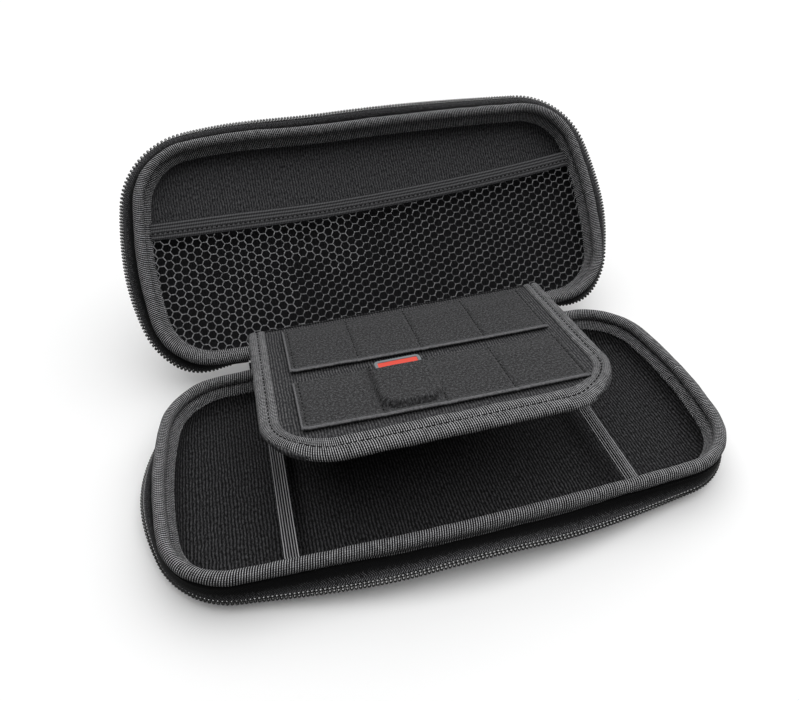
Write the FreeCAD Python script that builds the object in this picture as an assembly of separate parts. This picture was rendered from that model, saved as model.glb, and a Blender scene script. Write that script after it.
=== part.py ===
import FreeCAD, Part
import math
import os

# Hard zip case for a handheld game console: a tray and a lid of moulded foam board,
# bound along their rims, joined by a cloth spine at the back and closed by a zipper.
# Millimetres. +X runs along the case, +Y to the spine, +Z up. The origin is on the table,
# under the middle of the tray. The lid stands open and the card flap is raised.

V = FreeCAD.Vector

# Rim line: the middle of the bound edge, seen from above
RIM_LENGTH = 256.0
RIM_WIDTH = 120.5
CORNER_RADIUS = 29.7
END_BOW = 9.0
SIDE_BOW = 4.3
# Flat steps in which the rim line is walked, on each corner, end and long side
CORNER_STEPS = 7
END_STEPS = 4
SIDE_STEPS = 4

# Moulded shells and their linings
TRAY_DEPTH = 21.5
LID_DEPTH = 20.5
WALL = 3.0
WALL_LEAN = 5.0
FLOOR_RADIUS = 9.0
FLOOR_FACETS = 4
LINING_FACETS = 2
LINING = 0.8

# Edge binding: a round bead over the rim, a short outer leg and a wide inner band.
# The bead curls in by BEAD_CURL degrees below its widest line
BEAD_RADIUS = 2.85
BEAD_DROP = 3.0
BEAD_FACETS = 5
BEAD_CURL = 32.0
LEG_DEPTH = 6.4
LEG_THICKNESS = 0.8
GROOVE_DEPTH = 5.2
BAND_DEPTH = 9.8
BAND_THICKNESS = 0.8

# Cloth hinge between tray and lid
HINGE_GAP = 3.26
LID_OPEN = 133.8
SPINE_WIDTH = 166.0
SPINE_CLOTH = 0.8
SPINE_SAG = 3.0

# Zipper: tape sewn under the outer leg, teeth along its free edge
TAPE_WIDTH = 8.0
TAPE_THICKNESS = 0.8
SEAM_OUT = 2.0
SEAM_CLEARANCE = 0.05
STATION_STEP = 16.0
TOOTH_PITCH = 4.4
TOOTH_WIDTH = 2.4
TOOTH_HEIGHT = 2.4
TOOTH_REACH = 2.2
# How steeply the tape hangs off the rim, in degrees below level, from the spine to the front
TRAY_FLARE = {"spine": 88.0, "back_corner": 76.0, "end": 52.0, "front_corner": 78.0, "front": 14.0}
LID_FLARE = {"spine": 88.0, "back_corner": 70.0, "end": 38.0, "front_corner": 40.0, "front": 15.0}

# Elastic straps across the tray
STRAP_WIDTH = 6.5
STRAP_THICKNESS = 1.0
STRAP_DEPTH = 7.0
STRAP_LEFT_X = -76.0
STRAP_RIGHT_X = 73.0

# Net pocket in the lid
NET_DEPTH = 8.6
NET_THICKNESS = 0.5
NET_CLEARANCE = 0.12
NET_TOP_WIDTH = 9.0
NET_TOP_THICKNESS = 1.0
NET_TOP_LEFT_Y = -21.4
NET_TOP_RIGHT_Y = -30.0
NET_TOP_MIDDLE_X = -32.0
NET_TOP_MIDDLE_Y = -19.6
MESH_PITCH = 13.4
MESH_STRAND = 2.0
MESH_MARGIN = 2.0

# Card flap: a bound panel on a cloth strip that rises from the spine
FLAP_WIDTH = 158.0
FLAP_LENGTH = 104.0
FLAP_CORNER = 30.0
FLAP_CENTRE_X = -1.5
CREST_GAP = 0.35
CREST_RISE = 19.0
FLAP_TILT = 6.6
PANEL_THICKNESS = 2.4
BACKING_THICKNESS = 1.0
FLAP_BINDING_WIDTH = 9.0
FLAP_BINDING_CLOTH = 1.0
STRIP_THICKNESS = 0.8
STRIP_CLEARANCE = 0.25
FLAP_SEAM_CLEARANCE = 0.1

# Card pockets: two elastic bands across the flap
POCKET_LEFT = -62.0
POCKET_WIDTH = 126.4
POCKET_CLOTH = 0.8
REAR_POCKET_START = 2.5
REAR_POCKET_LENGTH = 42.5
FRONT_POCKET_START = 50.5
FRONT_POCKET_LENGTH = 37.5
HEM_WIDTH = 2.6
HEM_HEIGHT = 1.9

# Game card in the second pocket of the front band
CARD_WIDTH = 21.5
CARD_LENGTH = 31.0
CARD_THICKNESS = 3.3
CARD_CORNER = 2.0
CARD_LEFT = -24.2
CARD_START = 45.5
CARD_CLEARANCE = 0.2

# Zipper sliders, parked beside the spine, and their pull tabs
SLIDER_LENGTH = 9.0
SLIDER_PLATE = 1.2
SLIDER_SLOT = 2.1
SLIDER_SLOT_FLOOR = 0.25
SLIDER_HEIGHT = 6.5
SLIDER_BASE = 1.6
BAIL_RADIUS = 0.7
BAIL_STANDOFF = 1.9
BAIL_FOOT = 1.0
TAB_LENGTH = 16.0
TAB_WIDTH = 4.4
TAB_THICKNESS = 1.6
TAB_EYE_CLEARANCE = 0.08

SPLIT = TRAY_DEPTH
HINGE_Y = RIM_WIDTH / 2 + HINGE_GAP
WALL_TOP = BEAD_DROP
STRIP_Y = RIM_WIDTH / 2 + BEAD_RADIUS + STRIP_CLEARANCE
CREST_Y = STRIP_Y - CREST_GAP


def lean_per_mm(depth):
    """how far the wall leans in for each millimetre that it goes down"""
    return WALL_LEAN / (depth - WALL_TOP)


def rim_arcs():
    """the eight arcs of the rim line, anticlockwise from the right end: x, y, radius, start, end"""
    half_length = RIM_LENGTH / 2
    half_width = RIM_WIDTH / 2
    side_radius = (half_length ** 2 + SIDE_BOW ** 2) / (2 * SIDE_BOW)
    end_radius = (half_width ** 2 + END_BOW ** 2) / (2 * END_BOW)
    side_y = half_width - side_radius
    end_x = half_length - end_radius
    # the corner's centre lies inside both large arcs by its own radius
    to_side = side_radius - CORNER_RADIUS
    to_end = end_radius - CORNER_RADIUS
    apart = math.hypot(end_x, side_y)
    along = (to_side ** 2 - to_end ** 2 + apart ** 2) / (2 * apart)
    across = math.sqrt(to_side ** 2 - along ** 2)
    ux, uy = end_x / apart, -side_y / apart
    corner_x = ux * along + uy * across
    corner_y = side_y + uy * along - ux * across
    side_angle = math.degrees(math.atan2(corner_y - side_y, corner_x))
    end_angle = math.degrees(math.atan2(corner_y, corner_x - end_x))
    return [
        (end_x, 0.0, end_radius, -end_angle, end_angle),
        (corner_x, corner_y, CORNER_RADIUS, end_angle, side_angle),
        (0.0, side_y, side_radius, side_angle, 180 - side_angle),
        (-corner_x, corner_y, CORNER_RADIUS, 180 - side_angle, 180 - end_angle),
        (-end_x, 0.0, end_radius, 180 - end_angle, 180 + end_angle),
        (-corner_x, -corner_y, CORNER_RADIUS, 180 + end_angle, 180 + side_angle),
        (0.0, -side_y, side_radius, 180 + side_angle, 360 - side_angle),
        (corner_x, -corner_y, CORNER_RADIUS, 360 - side_angle, 360 - end_angle),
    ]


def zipper_arcs():
    """the rim line from the left end of the spine round the front to its right end"""
    end, corner_br, back, corner_bl, left, corner_fl, front, corner_fr = rim_arcs()
    x, y, radius, start, stop = back
    spine_angle = math.degrees(math.asin(SPINE_WIDTH / 2 / radius))
    from_spine = (x, y, radius, 90 + spine_angle, stop)
    to_spine = (x, y, radius, start, 90 - spine_angle)
    return [from_spine, corner_bl, left, corner_fl, front, corner_fr, end, corner_br, to_spine]


def rim_stations():
    """places on the rim line, anticlockwise: x, y and outward direction"""
    steps = [END_STEPS, CORNER_STEPS, SIDE_STEPS, CORNER_STEPS] * 2
    stations = []
    for (x, y, radius, start, stop), count in zip(rim_arcs(), steps):
        for step in range(count):
            turn = math.radians(start + (stop - start) * step / count)
            cos, sin = math.cos(turn), math.sin(turn)
            stations.append((x + radius * cos, y + radius * sin, cos, sin))
    return stations


def back_line_y(x):
    """y of the rim line at the back of the case"""
    back = [(px, py) for px, py, _, _ in rim_stations() if py > 0]
    for (x1, y1), (x0, y0) in zip(back[:-1], back[1:]):
        if x0 <= x <= x1:
            return y0 + (y1 - y0) * (x - x0) / (x1 - x0)
    raise ValueError("x lies past the end of the case")


def ring(profile, side):
    """a closed profile of (out from the rim line, depth) points carried round the rim;
    side is -1 for the tray, whose depth goes down, and +1 for the closed lid"""
    sections = []
    for x, y, nx, ny in rim_stations():
        sections.append([V(x + nx * out, y + ny * out, SPLIT + side * depth) for out, depth in profile])
    faces = []
    for near, far in zip(sections, sections[1:] + sections[:1]):
        for i in range(len(near)):
            j = (i + 1) % len(near)
            faces.append(Part.Face(Part.makePolygon([near[i], near[j], far[j], far[i], near[i]])))
    return Part.Solid(Part.Shell(faces))


def rim_face(out, z):
    """flat face bounded by the rim line moved outwards"""
    points = [V(x + nx * out, y + ny * out, z) for x, y, nx, ny in rim_stations()]
    return Part.Face(Part.makePolygon(points + points[:1]))


def floor_plate(out, near, far, side):
    """flat plate inside the rim line between two depths"""
    low, high = sorted((SPLIT + side * near, SPLIT + side * far))
    return rim_face(out, low).extrude(V(0, 0, high - low))


def open_lid(shape):
    """swings a closed lid piece back to where it stands"""
    shape.rotate(V(0, HINGE_Y, SPLIT), V(1, 0, 0), -LID_OPEN)
    return shape


def basin_corner(depth, inset, facets):
    """the rounded corner between wall and floor, inset from the outside by inset all round:
    points from the end of the wall to the start of the floor, as (out, depth)"""
    lean = lean_per_mm(depth)
    angle = math.atan(lean)
    centre_depth = depth - FLOOR_RADIUS
    tangent_depth = centre_depth + FLOOR_RADIUS * math.sin(angle)
    tangent_out = WALL / 2 - lean * (tangent_depth - WALL_TOP)
    centre_out = tangent_out - FLOOR_RADIUS * math.cos(angle)
    radius = FLOOR_RADIUS - inset
    places = []
    for step in range(facets + 1):
        turn = angle + (math.pi / 2 - angle) * step / facets
        places.append((centre_out + radius * math.cos(turn), centre_depth + radius * math.sin(turn)))
    return places


def wall_out(inset, at, depth):
    """how far out the wall face that is inset by inset lies at a depth"""
    wall_end = basin_corner(depth, inset, 1)[0]
    return wall_end[0] + lean_per_mm(depth) * (wall_end[1] - at)


def shell(depth, side):
    """moulded board shell with leaning walls and a rounded floor edge"""
    outside = basin_corner(depth, 0.0, FLOOR_FACETS)
    inside = basin_corner(depth, WALL, LINING_FACETS)
    profile = [(wall_out(0.0, WALL_TOP, depth), WALL_TOP)] + outside
    profile += inside[::-1] + [(wall_out(WALL, WALL_TOP, depth), WALL_TOP)]
    wall = ring(profile, side)
    return wall.fuse(floor_plate(outside[-1][0], depth - WALL, depth, side)).removeSplitter()


def lining(depth, side):
    """knit cloth glued to the inside of a shell"""
    glued = basin_corner(depth, WALL, LINING_FACETS)
    face = basin_corner(depth, WALL + LINING, LINING_FACETS)
    profile = [(wall_out(WALL, WALL_TOP, depth), WALL_TOP)] + glued
    profile += face[::-1] + [(wall_out(WALL + LINING, WALL_TOP, depth), WALL_TOP)]
    wall = ring(profile, side)
    return wall.fuse(floor_plate(glued[-1][0], depth - WALL - LINING, depth - WALL, side)).removeSplitter()


def band_out(at, depth):
    """how far out the visible face of the binding's inner band lies at a depth"""
    return wall_out(WALL + LINING, at, depth) - BAND_THICKNESS


def binding(depth, side):
    """woven tape folded over the rim and sewn through: bead, groove and inner band"""
    sweep = 180 + 2 * BEAD_CURL
    profile = [
        (wall_out(0.0, LEG_DEPTH, depth), LEG_DEPTH),
        (wall_out(0.0, LEG_DEPTH, depth) + LEG_THICKNESS, LEG_DEPTH),
    ]
    for step in range(BEAD_FACETS + 1):
        turn = math.radians(-BEAD_CURL + sweep * step / BEAD_FACETS)
        profile.append((BEAD_RADIUS * math.cos(turn), BEAD_DROP - BEAD_RADIUS * math.sin(turn)))
    profile += [
        (band_out(GROOVE_DEPTH, depth), GROOVE_DEPTH),
        (band_out(BAND_DEPTH, depth), BAND_DEPTH),
        (wall_out(WALL + LINING, BAND_DEPTH, depth), BAND_DEPTH),
        (wall_out(WALL + LINING, WALL_TOP, depth), WALL_TOP),
        (wall_out(0.0, WALL_TOP, depth), WALL_TOP),
    ]
    return ring(profile, side)


def arc_length(arc):
    return arc[2] * math.radians(arc[4] - arc[3])


def along_zipper(distance):
    """point and outward direction on the rim line, a distance from the spine's left end"""
    arcs = zipper_arcs()
    while len(arcs) > 1 and distance > arc_length(arcs[0]):
        distance -= arc_length(arcs.pop(0))
    x, y, radius, start, stop = arcs[0]
    turn = math.radians(start) + distance / radius
    return x + radius * math.cos(turn), y + radius * math.sin(turn), math.cos(turn), math.sin(turn)


def zipper_length():
    return sum(arc_length(arc) for arc in zipper_arcs())


def flare_at(distance, flare):
    """how steeply the tape hangs at a distance along the zipper, eased between the named places"""
    order = ["spine", "back_corner", "end", "front_corner", "front",
             "front_corner", "end", "back_corner", "spine"]
    lengths = [arc_length(arc) for arc in zipper_arcs()]
    keys = []
    run = 0.0
    for name, length in zip(order, lengths):
        keys.append((run + length / 2, flare[name]))
        run += length
    if distance <= keys[0][0]:
        return keys[0][1]
    for (d0, f0), (d1, f1) in zip(keys[:-1], keys[1:]):
        if distance <= d1:
            share = (distance - d0) / (d1 - d0)
            ease = (1 - math.cos(math.pi * share)) / 2
            return f0 + (f1 - f0) * ease
    return keys[-1][1]


def tape_place(distance, flare, side):
    """seam point, direction across the tape and its upper normal, at a distance along the zipper"""
    x, y, nx, ny = along_zipper(distance)
    steep = math.radians(flare_at(distance, flare))
    seam_depth = LEG_DEPTH + TAPE_THICKNESS / 2 + SEAM_CLEARANCE
    seam = V(x + nx * SEAM_OUT, y + ny * SEAM_OUT, SPLIT + side * seam_depth)
    across = V(nx * math.cos(steep), ny * math.cos(steep), side * math.sin(steep))
    normal = V(-nx * math.sin(steep), -ny * math.sin(steep), side * math.cos(steep))
    return seam, across, normal


def tape_stations():
    """distances along the zipper at which the tape has its sections"""
    total = zipper_length()
    count = math.ceil(total / STATION_STEP)
    return [total * step / count for step in range(count + 1)]


def zipper_tape(flare, side):
    """woven tape that hangs off the rim, level at the front and steep at the corners"""
    sections = []
    for distance in tape_stations():
        seam, across, normal = tape_place(distance, flare, side)
        half = normal * (TAPE_THICKNESS / 2)
        edge = seam + across * TAPE_WIDTH
        sections.append(Part.makePolygon([seam - half, edge - half, edge + half, seam + half, seam - half]))
    return Part.makeLoft(sections, True, True)


def zipper_teeth(flare, side):
    """coil teeth along the free edge of the tape, one wedge for each"""
    usable = zipper_length() - 2 * (SLIDER_LENGTH + TOOTH_PITCH)
    count = int(usable / TOOTH_PITCH)
    start = (zipper_length() - (count - 1) * TOOTH_PITCH) / 2
    teeth = []
    for number in range(count):
        distance = start + number * TOOTH_PITCH
        seam, across, normal = tape_place(distance, flare, side)
        ahead = across.cross(normal).normalize()
        root = seam + across * TAPE_WIDTH - ahead * (TOOTH_WIDTH / 2)
        half = normal * (TOOTH_HEIGHT / 2)
        tip = root + across * TOOTH_REACH
        wedge = Part.Face(Part.makePolygon([root - half, tip, root + half, root - half]))
        teeth.append(wedge.extrude(ahead * TOOTH_WIDTH))
    return Part.makeCompound(teeth)


def turned_with_lid(y, depth):
    """where a point of the closed lid stands when the lid is open: y and z"""
    turn = math.radians(-LID_OPEN)
    dy = y - HINGE_Y
    return (HINGE_Y + dy * math.cos(turn) - depth * math.sin(turn),
            SPLIT + dy * math.sin(turn) + depth * math.cos(turn))


def spine_cloth():
    """cloth strip sewn under both rims, slack and folded down while the lid is open"""
    sections = []
    half = SPINE_WIDTH / 2
    stations = [x for x, y, _, _ in rim_stations() if y > 0 and abs(x) < half]
    for x in [half] + stations + [-half]:
        leg = back_line_y(x) + wall_out(0.0, LEG_DEPTH, TRAY_DEPTH)
        lid_leg = back_line_y(x) + wall_out(0.0, LEG_DEPTH, LID_DEPTH)
        depth = LEG_DEPTH + SEAM_CLEARANCE
        tray_out = (leg + SPINE_CLOTH, SPLIT - depth)
        tray_in = (leg, SPLIT - depth)
        lid_out = turned_with_lid(lid_leg + SPINE_CLOTH, depth)
        lid_in = turned_with_lid(lid_leg, depth)
        low_z = SPLIT - depth - SPINE_SAG
        low_y = (tray_out[0] + lid_out[0]) / 2
        outline = [tray_in, (low_y, low_z - SPINE_CLOTH), lid_in, lid_out, (low_y, low_z), tray_out]
        points = [V(x, y, z) for y, z in outline]
        sections.append(Part.makePolygon(points + points[:1]))
    return Part.makeLoft(sections, True, True)


def strap(x):
    """elastic strap from the front band of the tray's binding to the back one"""
    low = STRAP_DEPTH + STRAP_THICKNESS
    outer_edge = abs(x) + STRAP_WIDTH / 2
    reach = back_line_y(outer_edge) + band_out(low, TRAY_DEPTH) - SEAM_CLEARANCE
    z = SPLIT - low
    return Part.makeBox(STRAP_WIDTH, 2 * reach, STRAP_THICKNESS, V(x - STRAP_WIDTH / 2, -reach, z))


def net_top_edge(shift):
    """gently sagging top edge of the net pocket, moved down the lid by shift"""
    half = RIM_LENGTH / 2
    return Part.Arc(V(-half, NET_TOP_LEFT_Y + shift, 0), V(NET_TOP_MIDDLE_X, NET_TOP_MIDDLE_Y + shift, 0),
                    V(half, NET_TOP_RIGHT_Y + shift, 0)).toShape()


def below_net_edge(shift, thickness, z):
    """block that covers the lid from the net's top edge to behind the spine"""
    edge = net_top_edge(shift)
    left = edge.firstVertex().Point
    right = edge.lastVertex().Point
    far = RIM_WIDTH
    corners = [V(right.x, far, 0), V(left.x, far, 0)]
    sides = [Part.makeLine(right, corners[0]), Part.makeLine(corners[0], corners[1]),
             Part.makeLine(corners[1], left)]
    block = Part.Face(Part.Wire([edge] + sides)).extrude(V(0, 0, thickness))
    block.translate(V(0, 0, z))
    return block


def pocket_area(near, far):
    """slice of the lid's inside between two depths, clear of the binding's inner band"""
    out = band_out(far, LID_DEPTH) - NET_CLEARANCE
    return floor_plate(out, near, far, 1)


def pocket_net():
    """net pocket: one sheet with hexagonal gaps"""
    far = NET_DEPTH + NET_THICKNESS
    sheet = pocket_area(NET_DEPTH, far).common(below_net_edge(0.0, NET_THICKNESS, SPLIT + NET_DEPTH))
    margin = NET_CLEARANCE + MESH_MARGIN + MESH_PITCH / 2
    gap_radius = (MESH_PITCH - MESH_STRAND) / math.sqrt(3)
    column_step = MESH_PITCH * math.sqrt(3) / 2
    inside = rim_face(band_out(far, LID_DEPTH) - margin, SPLIT + NET_DEPTH)
    below = below_net_edge(NET_TOP_WIDTH + MESH_PITCH / 2, NET_THICKNESS, SPLIT + NET_DEPTH)
    rows = int(RIM_WIDTH / MESH_PITCH) + 1
    columns = int(RIM_LENGTH / column_step) + 1
    gaps = []
    for column in range(-columns, columns):
        for row in range(-rows, rows):
            x = column * column_step
            y = (row + (column % 2) / 2) * MESH_PITCH
            middle = V(x, y, SPLIT + NET_DEPTH)
            if not inside.isInside(middle, 0.01, True):
                continue
            if not below.isInside(middle + V(0, 0, NET_THICKNESS / 2), 0.01, True):
                continue
            corners = []
            for corner in range(7):
                turn = math.radians(60 * corner)
                corners.append(middle + V(gap_radius * math.cos(turn), gap_radius * math.sin(turn), 0))
            gaps.append(Part.Face(Part.makePolygon(corners)).extrude(V(0, 0, NET_THICKNESS)))
    return open_lid(sheet.cut(Part.makeCompound(gaps)))


def net_top_band():
    """elastic that borders the top of the net, in front of it"""
    near = NET_DEPTH - NET_TOP_THICKNESS
    area = pocket_area(near, NET_DEPTH)
    band = area.common(below_net_edge(0.0, NET_TOP_THICKNESS, SPLIT + near))
    band = band.cut(below_net_edge(NET_TOP_WIDTH, NET_TOP_THICKNESS, SPLIT + near))
    return open_lid(band)


def on_flap(shape):
    """lays a piece made flat, crest at the origin and front along -Y, onto the raised flap"""
    shape.rotate(V(0, 0, 0), V(1, 0, 0), -FLAP_TILT)
    shape.translate(V(FLAP_CENTRE_X, CREST_Y, SPLIT + CREST_RISE))
    return shape


def flap_sheet(inset, low, high):
    """sheet with the flap's outline, square at the crest and round at the front corners"""
    half = FLAP_WIDTH / 2 - inset
    front = -(FLAP_LENGTH - inset)
    radius = FLAP_CORNER - inset
    turn = radius * math.sqrt(0.5)
    left_x, right_x, corner_y = -half + radius, half - radius, front + radius
    left_turn = V(left_x - turn, corner_y - turn, low)
    right_turn = V(right_x + turn, corner_y - turn, low)
    edges = [
        Part.makeLine(V(half, 0, low), V(-half, 0, low)),
        Part.makeLine(V(-half, 0, low), V(-half, corner_y, low)),
        Part.Arc(V(-half, corner_y, low), left_turn, V(left_x, front, low)).toShape(),
        Part.makeLine(V(left_x, front, low), V(right_x, front, low)),
        Part.Arc(V(right_x, front, low), right_turn, V(half, corner_y, low)).toShape(),
        Part.makeLine(V(half, corner_y, low), V(half, 0, low)),
    ]
    return Part.Face(Part.Wire(edges)).extrude(V(0, 0, high - low))


def flap_panel():
    """stiff board faced with ribbed lining"""
    return on_flap(flap_sheet(FLAP_BINDING_CLOTH, -PANEL_THICKNESS, 0.0))


def flap_backing():
    """soft pad on the underside, against the console's screen"""
    inset = FLAP_BINDING_WIDTH + FLAP_SEAM_CLEARANCE
    return on_flap(flap_sheet(inset, -PANEL_THICKNESS - BACKING_THICKNESS, -PANEL_THICKNESS))


def flap_binding():
    """woven tape folded round the two sides and the front of the panel"""
    low = -PANEL_THICKNESS - FLAP_BINDING_CLOTH
    tape = flap_sheet(0.0, low, FLAP_BINDING_CLOTH)
    tape = tape.cut(flap_sheet(FLAP_BINDING_WIDTH, low, FLAP_BINDING_CLOTH))
    return on_flap(tape.cut(flap_sheet(FLAP_BINDING_CLOTH, -PANEL_THICKNESS, 0.0)))


def flap_strip():
    """cloth strip that carries the flap, from beside the tray's bead up to the crest"""
    low = SPLIT - LEG_DEPTH
    high = SPLIT + CREST_RISE
    half = FLAP_WIDTH / 2 - FLAP_BINDING_CLOTH
    return Part.makeBox(2 * half, STRIP_THICKNESS, high - low, V(FLAP_CENTRE_X - half, STRIP_Y, low))


def band_block(left, width, start, length, low, high):
    """block on the flap: left edge, width, distance from the crest, length and heights"""
    return Part.makeBox(width, length, high - low, V(left, -start - length, low))


def hem(start, length):
    """folded front edge of a pocket band, standing a little off the flap"""
    hem_start = start + length - HEM_WIDTH
    return band_block(POCKET_LEFT, POCKET_WIDTH, hem_start, HEM_WIDTH, POCKET_CLOTH, HEM_HEIGHT)


def rear_pocket_band():
    band = band_block(POCKET_LEFT, POCKET_WIDTH, REAR_POCKET_START, REAR_POCKET_LENGTH, 0.0, POCKET_CLOTH)
    return on_flap(band.fuse(hem(REAR_POCKET_START, REAR_POCKET_LENGTH)).removeSplitter())


def card_block(grow, high):
    """the card's block, grown on its sides and far end"""
    length = CARD_LENGTH + grow
    block = band_block(CARD_LEFT - grow, CARD_WIDTH + 2 * grow, CARD_START, length, 0.0, high)
    upright = [edge for edge in block.Edges if abs(edge.tangentAt(edge.FirstParameter).z) > 0.99]
    return block.makeFillet(CARD_CORNER, upright)


def front_pocket_band():
    """front band, stretched over the card"""
    band = band_block(POCKET_LEFT, POCKET_WIDTH, FRONT_POCKET_START, FRONT_POCKET_LENGTH, 0.0, POCKET_CLOTH)
    bulge = card_block(CARD_CLEARANCE + POCKET_CLOTH, CARD_THICKNESS + CARD_CLEARANCE + POCKET_CLOTH)
    behind = band_block(POCKET_LEFT, POCKET_WIDTH, 0.0, FRONT_POCKET_START, 0.0,
                        CARD_THICKNESS + CARD_CLEARANCE + POCKET_CLOTH)
    cavity = card_block(CARD_CLEARANCE, CARD_THICKNESS + CARD_CLEARANCE)
    band = band.fuse([bulge.cut(behind), hem(FRONT_POCKET_START, FRONT_POCKET_LENGTH)])
    return on_flap(band.cut(cavity).removeSplitter())


def game_card():
    return on_flap(card_block(0.0, CARD_THICKNESS))


def on_tape_end(shape, side):
    """sets a piece onto the straight first run of the tape beside the spine: made with the middle
    of the tape's free edge at the origin, the tape along X and the outside towards +Y"""
    places = tape_stations()
    if side > 0:
        places = places[::-1]
    seam = tape_place(places[0], TRAY_FLARE, -1)[0]
    along = (tape_place(places[1], TRAY_FLARE, -1)[0] - seam).normalize()
    middle = seam + along * (SLIDER_LENGTH / 2)
    turn = math.degrees(math.atan2(side * along.y, side * along.x))
    shape.rotate(V(0, 0, 0), V(0, 0, 1), turn)
    shape.translate(V(middle.x, middle.y, middle.z - TAPE_WIDTH))
    return shape


def slider_base():
    """lowest height of a slider, under the tape's free edge"""
    return -SLIDER_SLOT_FLOOR - SLIDER_BASE


def bail_out():
    """how far out from the tape the bail's bar stands, where the pull tab turns"""
    return SLIDER_SLOT / 2 + SLIDER_PLATE + BAIL_STANDOFF


def slider(side):
    """slider body: two plates joined under the tape's edge, with a bail for the pull tab"""
    low = slider_base()
    depth = SLIDER_SLOT + 2 * SLIDER_PLATE
    left = -SLIDER_LENGTH / 2
    body = Part.makeBox(SLIDER_LENGTH, depth, SLIDER_HEIGHT, V(left, -depth / 2, low))
    gap = Part.makeBox(SLIDER_LENGTH, SLIDER_SLOT, SLIDER_HEIGHT,
                       V(left, -SLIDER_SLOT / 2, low + SLIDER_BASE))
    bar = Part.makeCylinder(BAIL_RADIUS, SLIDER_HEIGHT, V(0, bail_out(), low))
    foot_length = bail_out() + BAIL_RADIUS - depth / 2
    feet = []
    for z in (low, low + SLIDER_HEIGHT - BAIL_FOOT):
        feet.append(Part.makeBox(2 * BAIL_RADIUS, foot_length, BAIL_FOOT, V(-BAIL_RADIUS, depth / 2, z)))
    return on_tape_end(body.cut(gap).fuse([bar] + feet).removeSplitter(), side)


def pull_tab(side):
    """flat tab with an eye on the bail, lying towards the middle of the spine"""
    low = slider_base() + (SLIDER_HEIGHT - TAB_WIDTH) / 2
    eye_radius = BAIL_RADIUS + TAB_EYE_CLEARANCE
    left = -TAB_LENGTH if side > 0 else 0
    plate = Part.makeBox(TAB_LENGTH, TAB_THICKNESS, TAB_WIDTH,
                         V(left, bail_out() - TAB_THICKNESS / 2, low))
    boss = Part.makeCylinder(eye_radius + TAB_THICKNESS / 2, TAB_WIDTH, V(0, bail_out(), low))
    eye = Part.makeCylinder(eye_radius, TAB_WIDTH, V(0, bail_out(), low))
    return on_tape_end(plate.fuse(boss).cut(eye).removeSplitter(), side)


NODES = {
    "tray_shell": lambda: shell(TRAY_DEPTH, -1),
    "tray_lining": lambda: lining(TRAY_DEPTH, -1),
    "tray_binding": lambda: binding(TRAY_DEPTH, -1),
    "tray_zipper_tape": lambda: zipper_tape(TRAY_FLARE, -1),
    "tray_zipper_teeth": lambda: zipper_teeth(TRAY_FLARE, -1),
    "strap_left": lambda: strap(STRAP_LEFT_X),
    "strap_right": lambda: strap(STRAP_RIGHT_X),
    "spine_cloth": spine_cloth,
    "slider_left": lambda: slider(-1),
    "slider_right": lambda: slider(1),
    "pull_tab_left": lambda: pull_tab(-1),
    "pull_tab_right": lambda: pull_tab(1),
    "lid_shell": lambda: open_lid(shell(LID_DEPTH, 1)),
    "lid_lining": lambda: open_lid(lining(LID_DEPTH, 1)),
    "lid_binding": lambda: open_lid(binding(LID_DEPTH, 1)),
    "lid_zipper_tape": lambda: open_lid(zipper_tape(LID_FLARE, 1)),
    "lid_zipper_teeth": lambda: open_lid(zipper_teeth(LID_FLARE, 1)),
    "pocket_net": pocket_net,
    "net_top_band": net_top_band,
    "flap_strip": flap_strip,
    "flap_panel": flap_panel,
    "flap_backing": flap_backing,
    "flap_binding": flap_binding,
    "rear_pocket_band": rear_pocket_band,
    "front_pocket_band": front_pocket_band,
    "game_card": game_card,
}

os.makedirs("parts", exist_ok=True)
for name, make in NODES.items():
    make().exportStep("parts/" + name + ".step")
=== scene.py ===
import math

import bmesh
import bpy
from mathutils import Matrix, Vector, noise


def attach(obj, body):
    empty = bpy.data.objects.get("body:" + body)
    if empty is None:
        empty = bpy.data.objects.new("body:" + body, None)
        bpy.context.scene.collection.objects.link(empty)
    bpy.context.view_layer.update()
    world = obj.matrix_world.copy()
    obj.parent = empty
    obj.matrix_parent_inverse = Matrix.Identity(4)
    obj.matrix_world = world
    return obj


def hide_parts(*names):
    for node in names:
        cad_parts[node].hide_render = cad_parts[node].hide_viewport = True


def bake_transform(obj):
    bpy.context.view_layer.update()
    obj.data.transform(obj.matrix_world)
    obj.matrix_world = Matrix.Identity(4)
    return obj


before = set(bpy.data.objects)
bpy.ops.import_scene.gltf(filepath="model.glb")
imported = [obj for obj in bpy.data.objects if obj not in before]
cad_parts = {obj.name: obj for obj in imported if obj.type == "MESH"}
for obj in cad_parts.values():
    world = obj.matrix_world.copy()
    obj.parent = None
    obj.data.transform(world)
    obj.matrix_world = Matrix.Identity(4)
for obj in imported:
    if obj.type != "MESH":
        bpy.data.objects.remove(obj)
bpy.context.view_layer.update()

# Tray shell
# The lower half of the case: foam board pressed into a basin with rounded floor edges and faced
# outside with black plain-woven cloth. Its raw upper edge is closed over by the binding.
# All sizes are millimetres, and each finished mesh is brought to metres.
MM = 0.001
RIM_LENGTH = 256.0
RIM_WIDTH = 120.5
CORNER_RADIUS = 29.7
END_BOW = 9.0
SIDE_BOW = 4.3
SPLIT = 21.5
TRAY_DEPTH = 21.5
WALL = 3.0
WALL_LEAN = 5.0
WALL_TOP = 3.0
FLOOR_RADIUS = 9.0
FLOOR_EDGE_STEPS = 6
PRESSED = 1.2
SEAM_FOOT = 6.2
BAND_FOOT = 7.4
STEP_LENGTH = 1.8
END_RADIUS = ((RIM_WIDTH / 2) ** 2 + END_BOW ** 2) / (2 * END_BOW)
SIDE_RADIUS = ((RIM_LENGTH / 2) ** 2 + SIDE_BOW ** 2) / (2 * SIDE_BOW)


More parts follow.
